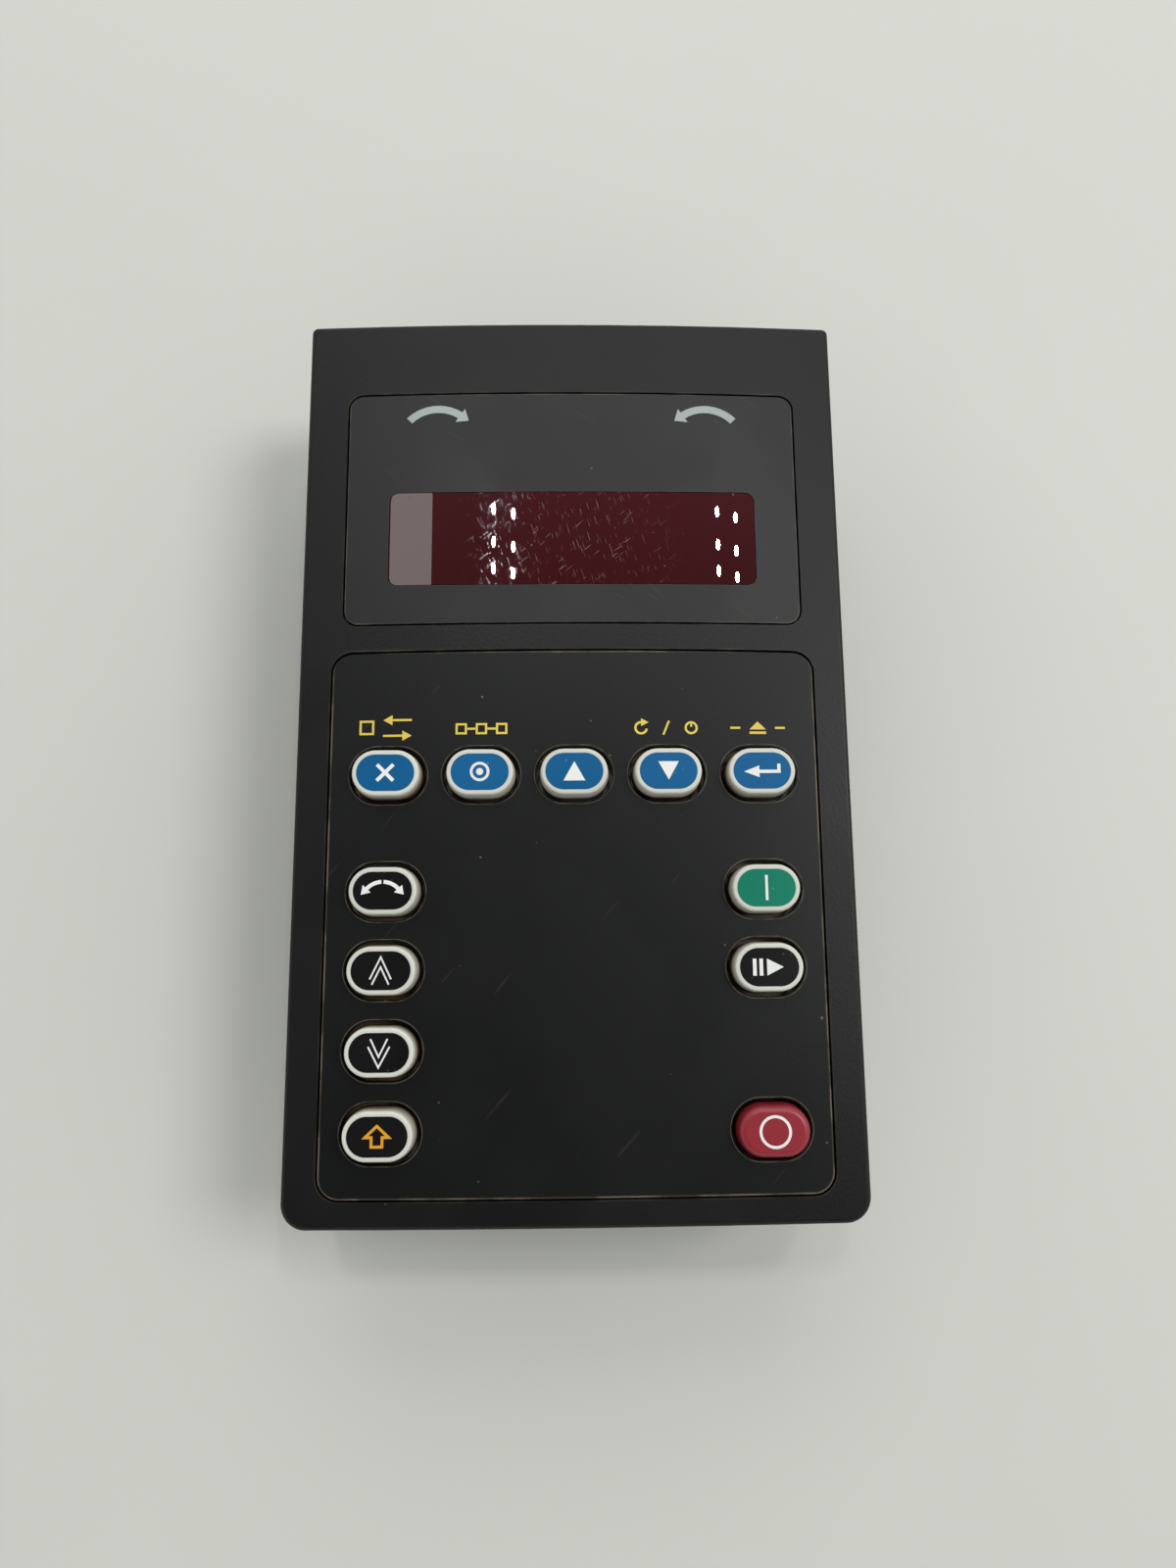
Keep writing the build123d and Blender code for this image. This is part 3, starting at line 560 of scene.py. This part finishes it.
def window_finish():
    """Polished dark red lens with dust, and hairline scratches that gather in its middle."""
    colour = tuple(colours().window)
    material, tree, shader = new_material("window_red", colour, 0.015)
    steep = scratches(tree, degrees=74.0, scale=520.0, thinness=16.0, rarity=0.67)
    shallow = scratches(tree, degrees=-38.0, scale=420.0, thinness=12.0, rarity=0.7)
    lines = calc(tree, "MAXIMUM", steep, shallow)
    off_centre = calc(tree, "ABSOLUTE", object_axes(tree)["X"])
    clean_beyond = 16 * MM
    worn_within = 2 * MM
    near = fade(tree, off_centre, clean_beyond, worn_within)
    lines = calc(tree, "MULTIPLY", lines, near)
    scatter = specks(tree, 800.0, 0.12)
    haze = grain(tree, 900.0)["Patches"]
    marks = calc(tree, "MAXIMUM", calc(tree, "MULTIPLY", lines, 0.15), calc(tree, "MULTIPLY", scatter, 0.3))
    toned = mix_colour(tree, haze, shade(colour, 0.85), shade(colour, 1.15))
    toned = mix_colour(tree, marks, toned, linear(168, 130, 126))
    rough = fade(tree, haze, 0.0, 1.0, 0.002, 0.005)
    rough = calc(tree, "ADD", rough, calc(tree, "MULTIPLY", marks, 3.0))
    dress(tree, shader, toned, rough, calc(tree, "SUBTRACT", 1.0, lines), 0.04, 0.001 * MM)
    return material


def key_finish(name, colour, painted_base_shade, roughness=0.45):
    """Satin key plastic, with painted shade that darkens it towards the plate, and dust specks."""
    material, tree, shader = new_material(name, colour, roughness)
    texture = grain(tree, 2400.0)
    unshaded_above = face_low() + 1.9 * MM
    dark_below = face_low() + 0.1 * MM
    depth = fade(tree, object_axes(tree)["Z"], unshaded_above, dark_below)
    patchy = calc(tree, "MULTIPLY", depth, fade(tree, texture["Patches"], 0.0, 1.0, 0.6, 1.0))
    toned = mix_colour(tree, texture["Patches"], shade(colour, 0.95), shade(colour, 1.03))
    spots = calc(tree, "MULTIPLY", specks(tree, 900.0, 0.14), 0.5)
    # Painted shade towards the plate, joined here with real dust specks.
    dirt = calc(tree, "MAXIMUM", patchy, spots)
    toned = mix_colour(tree, dirt, toned, painted_base_shade)
    rough = fade(tree, texture["Patches"], 0.0, 1.0, roughness - 0.06, roughness + 0.06)
    dress(tree, shader, toned, rough, texture["Height"], 0.35, 0.012 * MM)
    return material


def inset_finish(name, colour, fleck):
    """Satin coloured inset with faint mottling and a few rubbed flecks."""
    material, tree, shader = new_material(name, colour, 0.36, specular=0.2)
    texture = grain(tree, 1500.0)
    toned = mix_colour(tree, texture["Patches"], shade(colour, 0.9), shade(colour, 1.08))
    worn = calc(tree, "MULTIPLY", specks(tree, 1100.0, 0.2), 0.5)
    toned = mix_colour(tree, worn, toned, fleck)
    rough = fade(tree, texture["Patches"], 0.0, 1.0, 0.32, 0.42)
    dress(tree, shader, toned, rough, texture["Height"], 0.25, 0.01 * MM)
    return material


def ink_finish(name, colour):
    """Printed ink with a fine grain and faint uneven patches."""
    return moulded_finish(name, colour, 0.5, grain_scale=4200.0, grain_depth=0.005 * MM, variation=0.06)


def laminate_finish():
    """Green board with a faint glass weave under its coating."""
    colour = linear(20, 92, 54)
    roughness = 0.3
    material, tree, shader = new_material("board_green", colour, roughness)
    place = object_place(tree)
    warp = add_node(tree, "ShaderNodeTexWave", {"Vector": place, "Scale": 500.0}, bands_direction="X")
    weft = add_node(tree, "ShaderNodeTexWave", {"Vector": place, "Scale": 500.0}, bands_direction="Y")
    weave = calc(tree, "MULTIPLY", warp.outputs["Fac"], weft.outputs["Fac"])
    toned = mix_colour(tree, weave, shade(colour, 0.85), shade(colour, 1.15))
    dress(tree, shader, toned, roughness, weave, 0.2, 0.01 * MM)
    return material


# Shapes


def thicken(shape, thickness):
    """Raises a flat shape to its thickness."""
    raised = bmesh.ops.extrude_face_region(shape, geom=shape.faces[:])["geom"]
    upper = [part for part in raised if isinstance(part, bmesh.types.BMVert)]
    bmesh.ops.translate(shape, vec=(0, 0, thickness), verts=upper)


def bend_to_face(shape, place, depth, thickness):
    """Sets a flat shape on the crowned face, lowered by depth, and gives it its thickness."""
    thicken(shape, thickness)
    for vertex in shape.verts:
        x = vertex.co.x + place.x
        y = vertex.co.y + place.y
        vertex.co = Vector((x, y, vertex.co.z + crowned_z(x) - depth))


def lay_flat(shape, place, thickness):
    """Sets a flat shape on a flat top and gives it its thickness."""
    thicken(shape, thickness)
    bmesh.ops.translate(shape, vec=place, verts=shape.verts)


def make_piece(name, shape, material, body):
    """Turns a finished shape into a piece that rides on a body."""
    bmesh.ops.remove_doubles(shape, verts=shape.verts, dist=TOUCHING)
    bmesh.ops.recalc_face_normals(shape, faces=shape.faces)
    mesh = bpy.data.meshes.new(name)
    shape.to_mesh(mesh)
    shape.free()
    mesh.materials.append(material)
    piece = bpy.data.objects.new(name, mesh)
    bpy.context.scene.collection.objects.link(piece)
    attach(piece, body)
    return piece


def crowned_z(x):
    """Height of the crowned face at x."""
    radius = sizes().crown_radius
    return FACE_CREST - radius + math.sqrt(radius * radius - x * x)


def face_low():
    """Height of the crowned face at its sides."""
    return crowned_z(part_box("keypad_plate")[1].x)


def key_middle(key):
    """The middle of a key's top."""
    low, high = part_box("key_" + key)
    return Vector(((low.x + high.x) / 2, (low.y + high.y) / 2, high.z))


def polygon(shape, *points):
    """A flat face through points in plan, in millimetres."""
    return shape.faces.new([shape.verts.new((x * MM, y * MM, 0)) for x, y in points])


def stroke(shape, width, *points, closed=False):
    """A flat line of even width through points in plan, mitred at its corners, in millimetres."""
    places = [Vector(point) for point in points]
    count = len(places)
    rims = []
    for index, place in enumerate(places):
        before = places[index - 1] if index or closed else None
        after = places[(index + 1) % count] if index < count - 1 or closed else None
        into = (place - before).normalized() if before is not None else (after - place).normalized()
        out = (after - place).normalized() if after is not None else into
        mitre = (into + out).normalized()
        side = Vector((-mitre.y, mitre.x)) * (width / 2) / mitre.dot(into)
        rims.append([shape.verts.new((*(place + way * side) * MM, 0)) for way in (1, -1)])
    pairs = list(zip(rims, rims[1:]))
    if closed:
        pairs.append((rims[-1], rims[0]))
    for first, second in pairs:
        shape.faces.new((first[0], second[0], second[1], first[1]))


def curved_band(shape, centre, radius, width, start, end):
    """A flat band swept round a centre from start to end, in millimetres and degrees."""
    middle = Vector((*centre, 0)) * MM
    ray = Vector((math.cos(math.radians(start)), math.sin(math.radians(start)), 0))
    ends = [shape.verts.new(middle + ray * (radius + way * width / 2) * MM) for way in (-1, 1)]
    edge = shape.edges.new(ends)
    steps = max(4, round(abs(end - start) / 8))
    bmesh.ops.spin(
        shape,
        geom=[*ends, edge],
        cent=middle,
        axis=(0, 0, 1),
        angle=math.radians(end - start),
        steps=steps,
        use_merge=abs(end - start) >= 360,
    )


def arc_arrow(shape, centre, radius, width, tail, neck, head_width, head_length):
    """A band curved from tail to neck with a triangle for its head, in millimetres and degrees."""
    curved_band(shape, centre, radius, width, tail, neck)
    turned = math.radians(neck)
    beside = Vector((math.cos(turned), math.sin(turned)))
    ahead = Vector((-beside.y, beside.x)) * math.copysign(1, neck - tail)
    foot = centre + beside * radius
    half = beside * head_width / 2
    polygon(shape, tuple(foot + half), tuple(foot + ahead * head_length), tuple(foot - half))


def box_outline(shape, width, left, low, right, high):
    """The outline of a rectangle, in millimetres."""
    stroke(shape, width, (left, low), (left, high), (right, high), (right, low), closed=True)


def disc(shape, centre, radius, segments=32):
    """A flat round face, in millimetres."""
    place = Matrix.Translation(Vector((*centre, 0)) * MM)
    bmesh.ops.create_circle(shape, cap_ends=True, radius=radius * MM, segments=segments, matrix=place)


def stadium(shape, length, width):
    """A flat face with round ends, in metres."""
    scale = Matrix.Diagonal((length / 2, width / 2, 1, 1))
    corners = bmesh.ops.create_grid(shape, x_segments=1, y_segments=1, size=1, matrix=scale)["verts"]
    bmesh.ops.bevel(
        shape,
        geom=corners,
        offset=width / 2 * 0.999,
        affect="VERTICES",
        segments=16,
        profile=0.5,
        material=-1,
    )


# Signs on the keys, in millimetres from the key's middle


def escape_sign(shape):
    """A plain cross."""
    width = 0.42
    reach = 0.95
    near = width / 2 / math.sqrt(2)
    stroke(shape, width, (-reach, -reach), (reach, reach))
    stroke(shape, width, (-reach, reach), (-near, near))
    stroke(shape, width, (near, -near), (reach, -reach))


def select_sign(shape):
    """A ring round a dot."""
    curved_band(shape, (0, 0), 0.98, 0.32, 0, 360)
    disc(shape, (0, 0), 0.42)


def up_sign(shape):
    """A triangle pointing up."""
    polygon(shape, (-1.27, -1.14), (1.27, -1.14), (0, 1.14))


def down_sign(shape):
    """A slightly smaller triangle pointing down."""
    polygon(shape, (1.2, 1.09), (-1.2, 1.09), (0, -1.09))


def enter_sign(shape):
    """An arrow that comes down and turns to the left."""
    polygon(shape, (-2.15, -0.12), (-0.35, -0.82), (-0.35, 0.58))
    stroke(shape, 0.38, (-0.35, -0.12), (1.95, -0.12), (1.95, 0.78))


def direction_sign(shape):
    """Two arrows that curve away from each other."""
    centre = Vector((0, -1.45))
    for side in (-1, 1):
        arc_arrow(shape, centre, 2.45, 0.44, 90 - side * 3, 90 - side * 47, head_width=1.24, head_length=0.95)


def increase_sign(shape):
    """Two open chevrons, one over the other, pointing up."""
    stroke(shape, 0.19, (-1.2, -0.95), (0, 1.5), (1.2, -0.95))
    stroke(shape, 0.19, (-0.95, -1.55), (0, 0.4), (0.95, -1.55))


def decrease_sign(shape):
    """Two open chevrons pointing down."""
    stroke(shape, 0.19, (-1.2, 0.65), (0, -1.6), (1.2, 0.65))
    stroke(shape, 0.19, (-0.95, 1.5), (0, -0.45), (0.95, 1.5))


def start_sign(shape):
    """A plain upright bar."""
    half = sizes().bar_height / MM / 2
    stroke(shape, 0.3, (0, -half), (0, half))


def stop_sign(shape):
    """A plain ring."""
    width = 0.31
    curved_band(shape, (0, 0), sizes().ring_diameter / MM / 2 - width / 2, width, 0, 360)


def jog_sign(shape):
    """A bar, a shorter bar and a triangle pointing right."""
    stroke(shape, 0.42, (-1.7, -0.95), (-1.7, 0.95))
    stroke(shape, 0.42, (-0.95, -0.95), (-0.95, 0.95))
    polygon(shape, (-0.3, -0.95), (1.6, 0), (-0.3, 0.95))


def alternate_sign(shape):
    """The outline of a broad arrow pointing up."""
    right = ((1.3, -0.05), (0.6, -0.05), (0.6, -1.05))
    left = [(-x, y) for x, y in reversed(right)]
    stroke(shape, 0.3, (0, 1.15), *right, *left, closed=True)


# Labels on the plate over the top row, in millimetres from the middle of the key below


def in_out_label(shape):
    """A frame with one arrow going in and one coming out."""
    box_outline(shape, 0.26, -3.4, -0.5, -1.9, 1.0)
    for level, way in ((1.15, -1), (-0.75, 1)):
        tail = 1.0 - way * 1.7
        neck = 1.0 + way * 0.6
        stroke(shape, 0.26, (tail, level), (neck, level))
        polygon(shape, (neck, level - way * 0.62), (neck + way * 1.1, level), (neck, level + way * 0.62))


def device_label(shape):
    """Three boxes joined by a line."""
    for x in (-2.4, 0, 2.4):
        box_outline(shape, 0.25, x - 0.55, -0.55, x + 0.55, 0.55)
    for x in (-1.2, 1.2):
        stroke(shape, 0.25, (x - 0.5, 0), (x + 0.5, 0))


def mode_label(shape):
    """A turning arrow and a knob, either side of a stroke."""
    curved_band(shape, (-3.0, 0), 0.68, 0.26, 60, 350)
    polygon(shape, (-3.0, 0.2), (-3.0, 1.15), (-2.1, 0.68))
    stroke(shape, 0.24, (-0.35, -0.85), (0.35, 0.85))
    curved_band(shape, (3.0, 0), 0.66, 0.26, 0, 360)
    stroke(shape, 0.24, (3.0, 0.1), (3.0, 0.5))


def remove_label(shape):
    """A triangle over a bar between two short dashes."""
    polygon(shape, (-1.0, -0.2), (1.0, -0.2), (0, 0.78))
    stroke(shape, 0.3, (-1.0, -0.6), (1.0, -0.6))
    for x in (-2.7, 2.7):
        stroke(shape, 0.26, (x - 0.6, 0), (x + 0.6, 0))


SIGNS = {
    "escape": (escape_sign, "ink_white"),
    "select": (select_sign, "ink_white"),
    "up": (up_sign, "ink_white"),
    "down": (down_sign, "ink_white"),
    "enter": (enter_sign, "ink_white"),
    "direction": (direction_sign, "ink_white"),
    "increase": (increase_sign, "ink_white"),
    "decrease": (decrease_sign, "ink_white"),
    "alternate": (alternate_sign, "ink_amber"),
    "start": (start_sign, "ink_white"),
    "jog": (jog_sign, "ink_white"),
    "stop": (stop_sign, "ink_white"),
}

LABELS = {
    "in_out": ("escape", in_out_label),
    "device": ("select", device_label),
    "mode": ("down", mode_label),
    "remove": ("enter", remove_label),
}


def give(material, *nodes):
    """Gives CAD nodes their finish."""
    for name in nodes:
        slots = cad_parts[name].data.materials
        slots.clear()
        slots.append(material)


class KeypadOperator:
    """What the keypad's operators share."""

    bl_options = {"REGISTER", "UNDO"}


class KEYPAD_OT_case(KeypadOperator, bpy.types.Operator):
    """Finish the front case and the rear housing"""

    bl_idname = "keypad.finish_case"
    bl_label = "Finish the Case"

    def execute(self, context):
        give(case_finish(), "front_bezel", "rear_housing")
        return {"FINISHED"}


class KEYPAD_OT_panel(KeypadOperator, bpy.types.Operator):
    """Finish the display panel and print its two direction arrows"""

    bl_idname = "keypad.finish_panel"
    bl_label = "Finish the Display Panel"

    def execute(self, context):
        give(panel_finish(), "display_panel")
        ink = ink_finish("ink_arrow", tuple(colours().arrow))
        for side, name in ((-1, "arrow_forward"), (1, "arrow_reverse")):
            shape = bmesh.new()
            make_direction_arrow(shape, side)
            bend_to_face(shape, Vector((0, 0)), PRINT_SINK, sizes().print_thickness)
            make_piece(name, shape, ink, "root")
        return {"FINISHED"}


def make_direction_arrow(shape, side):
    """A curved arrow in the panel's upper corner that points inwards and down, in millimetres."""
    panel_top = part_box("display_panel")[1].y / MM
    spread = 16.7
    drop = 6.95
    centre = Vector((side * spread, panel_top - drop))
    arc_arrow(shape, centre, 4.95, 0.95, 90 - side * 46, 90 + side * 34, head_width=2.1, head_length=1.3)


class KEYPAD_OT_window(KeypadOperator, bpy.types.Operator):
    """Finish the display window"""

    bl_idname = "keypad.finish_window"
    bl_label = "Finish the Display Window"

    def execute(self, context):
        give(window_finish(), "display_window")
        return {"FINISHED"}


class KEYPAD_OT_plate(KeypadOperator, bpy.types.Operator):
    """Finish the keypad plate and print the labels over its top row"""

    bl_idname = "keypad.finish_plate"
    bl_label = "Finish the Keypad Plate"

    def execute(self, context):
        give(plate_finish(), "keypad_plate")
        ink = ink_finish("ink_yellow", tuple(colours().yellow))
        for name, (key, draw) in LABELS.items():
            shape = bmesh.new()
            draw(shape)
            place = key_middle(key) + Vector((0, sizes().label_rise, 0))
            bend_to_face(shape, place, sizes().plate_sink + PRINT_SINK, sizes().print_thickness)
            make_piece("label_" + name, shape, ink, "root")
        return {"FINISHED"}


class KEYPAD_OT_keys(KeypadOperator, bpy.types.Operator):
    """Finish the keys and lay their coloured insets"""

    bl_idname = "keypad.finish_keys"
    bl_label = "Finish the Keys"

    def execute(self, context):
        chosen = colours()
        # The last colour of each key finish is its painted shade towards the plate.
        border = key_finish("key_off_white", tuple(chosen.border), linear(120, 98, 66))
        red = key_finish("key_red", tuple(chosen.red), linear(84, 24, 30), roughness=0.4)
        for key in ALL_KEYS:
            give(red if key in PLAIN_KEYS else border, "key_" + key)
        blue = inset_finish("inset_blue", tuple(chosen.blue), linear(120, 160, 190))
        black = inset_finish("inset_black", tuple(chosen.black), linear(90, 90, 86))
        green = inset_finish("inset_green", tuple(chosen.green), linear(120, 180, 150))
        for keys, finish in ((BLUE_KEYS, blue), (BLACK_KEYS, black), (GREEN_KEYS, green)):
            for key in keys:
                shape = bmesh.new()
                stadium(shape, sizes().inset_length, sizes().inset_width)
                lay_flat(shape, key_middle(key), sizes().inset_thickness)
                round_top(shape, sizes().inset_edge)
                make_piece("inset_" + key, shape, finish, key + "_key")
        return {"FINISHED"}


def round_top(shape, width):
    """Rounds the outline of a shape's upper side."""
    top = max(vertex.co.z for vertex in shape.verts)
    edges = [
        edge
        for edge in shape.edges
        if all(vertex.co.z > top - TOUCHING for vertex in edge.verts) and len(edge.link_faces) == 2
    ]
    bmesh.ops.bevel(shape, geom=edges, offset=width, affect="EDGES", segments=2, profile=0.5, material=-1)


class KEYPAD_OT_signs(KeypadOperator, bpy.types.Operator):
    """Print the sign on each key"""

    bl_idname = "keypad.print_signs"
    bl_label = "Print the Key Signs"

    def execute(self, context):
        inks = {
            "ink_white": ink_finish("ink_white", tuple(colours().white)),
            "ink_amber": ink_finish("ink_amber", tuple(colours().amber)),
        }
        for key, (draw, ink) in SIGNS.items():
            shape = bmesh.new()
            draw(shape)
            rise = 0 if key in PLAIN_KEYS else sizes().inset_thickness
            lay_flat(shape, key_middle(key) + Vector((0, 0, rise - PRINT_SINK)), sizes().print_thickness)
            make_piece("sign_" + key, shape, inks[ink], key + "_key")
        return {"FINISHED"}


class KEYPAD_OT_inside(KeypadOperator, bpy.types.Operator):
    """Finish the board, the display, the lamps, the key mat and the chips"""

    bl_idname = "keypad.finish_inside"
    bl_label = "Finish the Inside"

    def execute(self, context):
        give(laminate_finish(), "main_board")
        give(moulded_finish("mat_silicone", linear(126, 128, 124), 0.6), "key_mat")
        carbon = moulded_finish("carbon_black", linear(26, 26, 26), 0.75)
        give(carbon, "key_contacts", *["pill_" + key for key in ALL_KEYS])
        display = moulded_finish("display_grey", linear(44, 44, 45), 0.5)
        give(display, "digit_block_left", "digit_block_right")
        give(moulded_finish("segment_red", linear(150, 60, 56), 0.3), "digit_segments")
        give(moulded_finish("shroud_black", linear(22, 22, 22), 0.7), "display_shroud")
        give(moulded_finish("lamp_clear", linear(196, 214, 196), 0.12), "direction_lamps")
        chip = moulded_finish("chip_black", linear(28, 28, 30), 0.6)
        give(chip, "controller_chip", "driver_chips")
        give(moulded_finish("chip_part_brown", linear(120, 96, 70), 0.5), "chip_parts")
        give(metal_finish("lead_tin", linear(205, 205, 200), 0.28), "chip_leads")
        give(metal_finish("can_bright", linear(214, 214, 214), 0.22), "capacitor", "crystal")
        return {"FINISHED"}


class KEYPAD_OT_port(KeypadOperator, bpy.types.Operator):
    """Finish the round data port"""

    bl_idname = "keypad.finish_port"
    bl_label = "Finish the Data Port"

    def execute(self, context):
        give(moulded_finish("port_black", linear(24, 24, 24), 0.5), "port_body")
        give(metal_finish("port_nickel", linear(196, 194, 188), 0.2), "port_shell")
        give(metal_finish("contact_gilt", linear(214, 176, 92), 0.25), "port_contacts")
        return {"FINISHED"}


class KEYPAD_OT_screws(KeypadOperator, bpy.types.Operator):
    """Finish the case screws and the board screws"""

    bl_idname = "keypad.finish_screws"
    bl_label = "Finish the Screws"

    def execute(self, context):
        give(metal_finish("screw_zinc", linear(172, 174, 176), 0.35), "case_screws", "board_screws")
        return {"FINISHED"}


def make_camera(scene, stage):
    """The camera at the photograph's angle."""
    camera_data = bpy.data.cameras.new("keypad_camera")
    camera_data.sensor_width = 36
    camera_data.lens = stage.camera_lens
    camera_data.clip_start = 0.005
    camera = bpy.data.objects.new("keypad_camera", camera_data)
    camera.location = stage.camera_place
    camera.rotation_euler = stage.camera_turn
    scene.collection.objects.link(camera)
    scene.camera = camera


def make_lamp(scene, name, place, target, width, length, power, shape="RECTANGLE"):
    """A soft lamp that faces a target."""
    lamp_data = bpy.data.lights.new(name, "AREA")
    lamp_data.shape = shape
    lamp_data.size = width
    lamp_data.size_y = length
    lamp_data.energy = power
    lamp = bpy.data.objects.new(name, lamp_data)
    lamp.location = place
    lamp.rotation_euler = (target - place).to_track_quat("-Z", "Y").to_euler()
    scene.collection.objects.link(lamp)


def make_bulbs(scene, power):
    """Two groups of small ceiling bulbs in three rows of two, which the window mirrors."""
    width = 0.0065
    length = 0.0155
    stagger = 0.004
    rows = (0.6, 0.551, 0.512)
    for group, x, reach in (("west", -0.124, 0.019), ("east", 0.306, 0.017)):
        for row, y in enumerate(rows):
            for side, word in ((-1, "left"), (1, "right")):
                place = Vector((x + side * reach, y - side * stagger, CEILING))
                below = Vector((place.x, place.y, 0))
                name = f"bulb_{group}_{row}_{word}"
                make_lamp(scene, name, place, below, width, length, power, "ELLIPSE")


def make_lamps(scene, stage):
    """Soft lamps beyond the top end and at the right, and a pale ceiling panel at the left."""
    keypad = Vector((0, 0, 0))
    back = Vector((0, 0.9, 0.8))
    right = Vector((1.3, 0.35, 1.9))
    left = Vector((-0.302, 0.565, CEILING))
    make_lamp(scene, "lamp_back", back, keypad, 0.9, 0.5, stage.back_power)
    make_lamp(scene, "lamp_right", right, keypad, 0.8, 0.8, stage.right_power)
    make_lamp(scene, "lamp_left", left, Vector((left.x, left.y, 0)), 0.08, 0.14, stage.left_power)


def make_sky(scene, stage):
    """A pale surrounding with a dim patch overhead, which the dark plastics mirror."""
    world = bpy.data.worlds.new("keypad_sky")
    world.use_nodes = True
    tree = world.node_tree
    way = add_node(tree, "ShaderNodeTexCoord").outputs["Generated"]
    lean = (0, -math.sin(stage.overhead_lean), math.cos(stage.overhead_lean))
    near = add_node(tree, "ShaderNodeVectorMath", {0: way, 1: lean}, operation="DOT_PRODUCT").outputs["Value"]
    rim = math.cos(stage.overhead_outer)
    core = math.cos(stage.overhead_inner)
    strength = fade(tree, near, rim, core, stage.around_strength, stage.overhead_strength)
    background = tree.nodes["Background"]
    background.inputs["Color"].default_value = (1, 1, 1, 1)
    feed(tree, background.inputs["Strength"], strength)
    scene.world = world


def make_floor(scene, stage):
    """A pale floor with a barely uneven tone, just under the keypad and clear when seen from below."""
    shape = bmesh.new()
    bmesh.ops.create_grid(shape, x_segments=1, y_segments=1, size=stage.floor_size / 2)
    bmesh.ops.translate(shape, vec=(0, 0, -stage.floor_gap), verts=shape.verts)
    mesh = bpy.data.meshes.new("keypad_floor")
    shape.to_mesh(mesh)
    shape.free()
    colour = tuple(colours().floor)
    roughness = 0.6
    material, tree, shader = new_material("floor_pale", colour, roughness)
    texture = grain(tree, 700.0)
    toned = mix_colour(tree, texture["Patches"], shade(colour, 0.985), colour)
    dress(tree, shader, toned, roughness, texture["Height"], 0.15, 0.02 * MM)
    below = add_node(tree, "ShaderNodeNewGeometry").outputs["Backfacing"]
    clear = add_node(tree, "ShaderNodeBsdfTransparent").outputs["BSDF"]
    seen = add_node(tree, "ShaderNodeMixShader", {0: below, 1: shader.outputs["BSDF"], 2: clear})
    feed(tree, tree.nodes["Material Output"].inputs["Surface"], seen.outputs["Shader"])
    mesh.materials.append(material)
    floor = bpy.data.objects.new("keypad_floor", mesh)
    scene.collection.objects.link(floor)


class KEYPAD_OT_stage(KeypadOperator, bpy.types.Operator):
    """Set up the floor, the light and the camera"""

    bl_idname = "keypad.set_stage"
    bl_label = "Set the Stage"

    def execute(self, context):
        scene = context.scene
        stage = scene.keypad_stage
        make_camera(scene, stage)
        make_sky(scene, stage)
        make_floor(scene, stage)
        make_lamps(scene, stage)
        make_bulbs(scene, stage.bulb_power)
        scene.view_settings.view_transform = "Standard"
        return {"FINISHED"}


class KEYPAD_PT_tools(bpy.types.Panel):
    """The keypad's operators and what they take"""

    bl_idname = "KEYPAD_PT_tools"
    bl_label = "Drive Keypad"
    bl_space_type = "VIEW_3D"
    bl_region_type = "UI"
    bl_category = "Keypad"

    def draw(self, context):
        layout = self.layout
        scene = context.scene
        for operator in OPERATORS:
            layout.operator(operator.bl_idname)
        for settings in (scene.keypad_sizes, scene.keypad_colours, scene.keypad_stage):
            box = layout.box()
            for name in settings.__annotations__:
                box.prop(settings, name)


OPERATORS = (
    KEYPAD_OT_case,
    KEYPAD_OT_panel,
    KEYPAD_OT_window,
    KEYPAD_OT_plate,
    KEYPAD_OT_keys,
    KEYPAD_OT_signs,
    KEYPAD_OT_inside,
    KEYPAD_OT_port,
    KEYPAD_OT_screws,
    KEYPAD_OT_stage,
)
CLASSES = (KeypadSizes, KeypadColours, KeypadStage, *OPERATORS, KEYPAD_PT_tools)


def register():
    for made in CLASSES:
        bpy.utils.register_class(made)
    bpy.types.Scene.keypad_sizes = PointerProperty(type=KeypadSizes)
    bpy.types.Scene.keypad_colours = PointerProperty(type=KeypadColours)
    bpy.types.Scene.keypad_stage = PointerProperty(type=KeypadStage)


def unregister():
    del bpy.types.Scene.keypad_stage
    del bpy.types.Scene.keypad_colours
    del bpy.types.Scene.keypad_sizes
    for made in reversed(CLASSES):
        bpy.utils.unregister_class(made)


def main():
    register()
    bpy.ops.keypad.finish_case()
    bpy.ops.keypad.finish_panel()
    bpy.ops.keypad.finish_window()
    bpy.ops.keypad.finish_plate()
    bpy.ops.keypad.finish_keys()
    bpy.ops.keypad.print_signs()
    bpy.ops.keypad.finish_inside()
    bpy.ops.keypad.finish_port()
    bpy.ops.keypad.finish_screws()
    bpy.ops.keypad.set_stage()


if __name__ == "__main__":
    main()
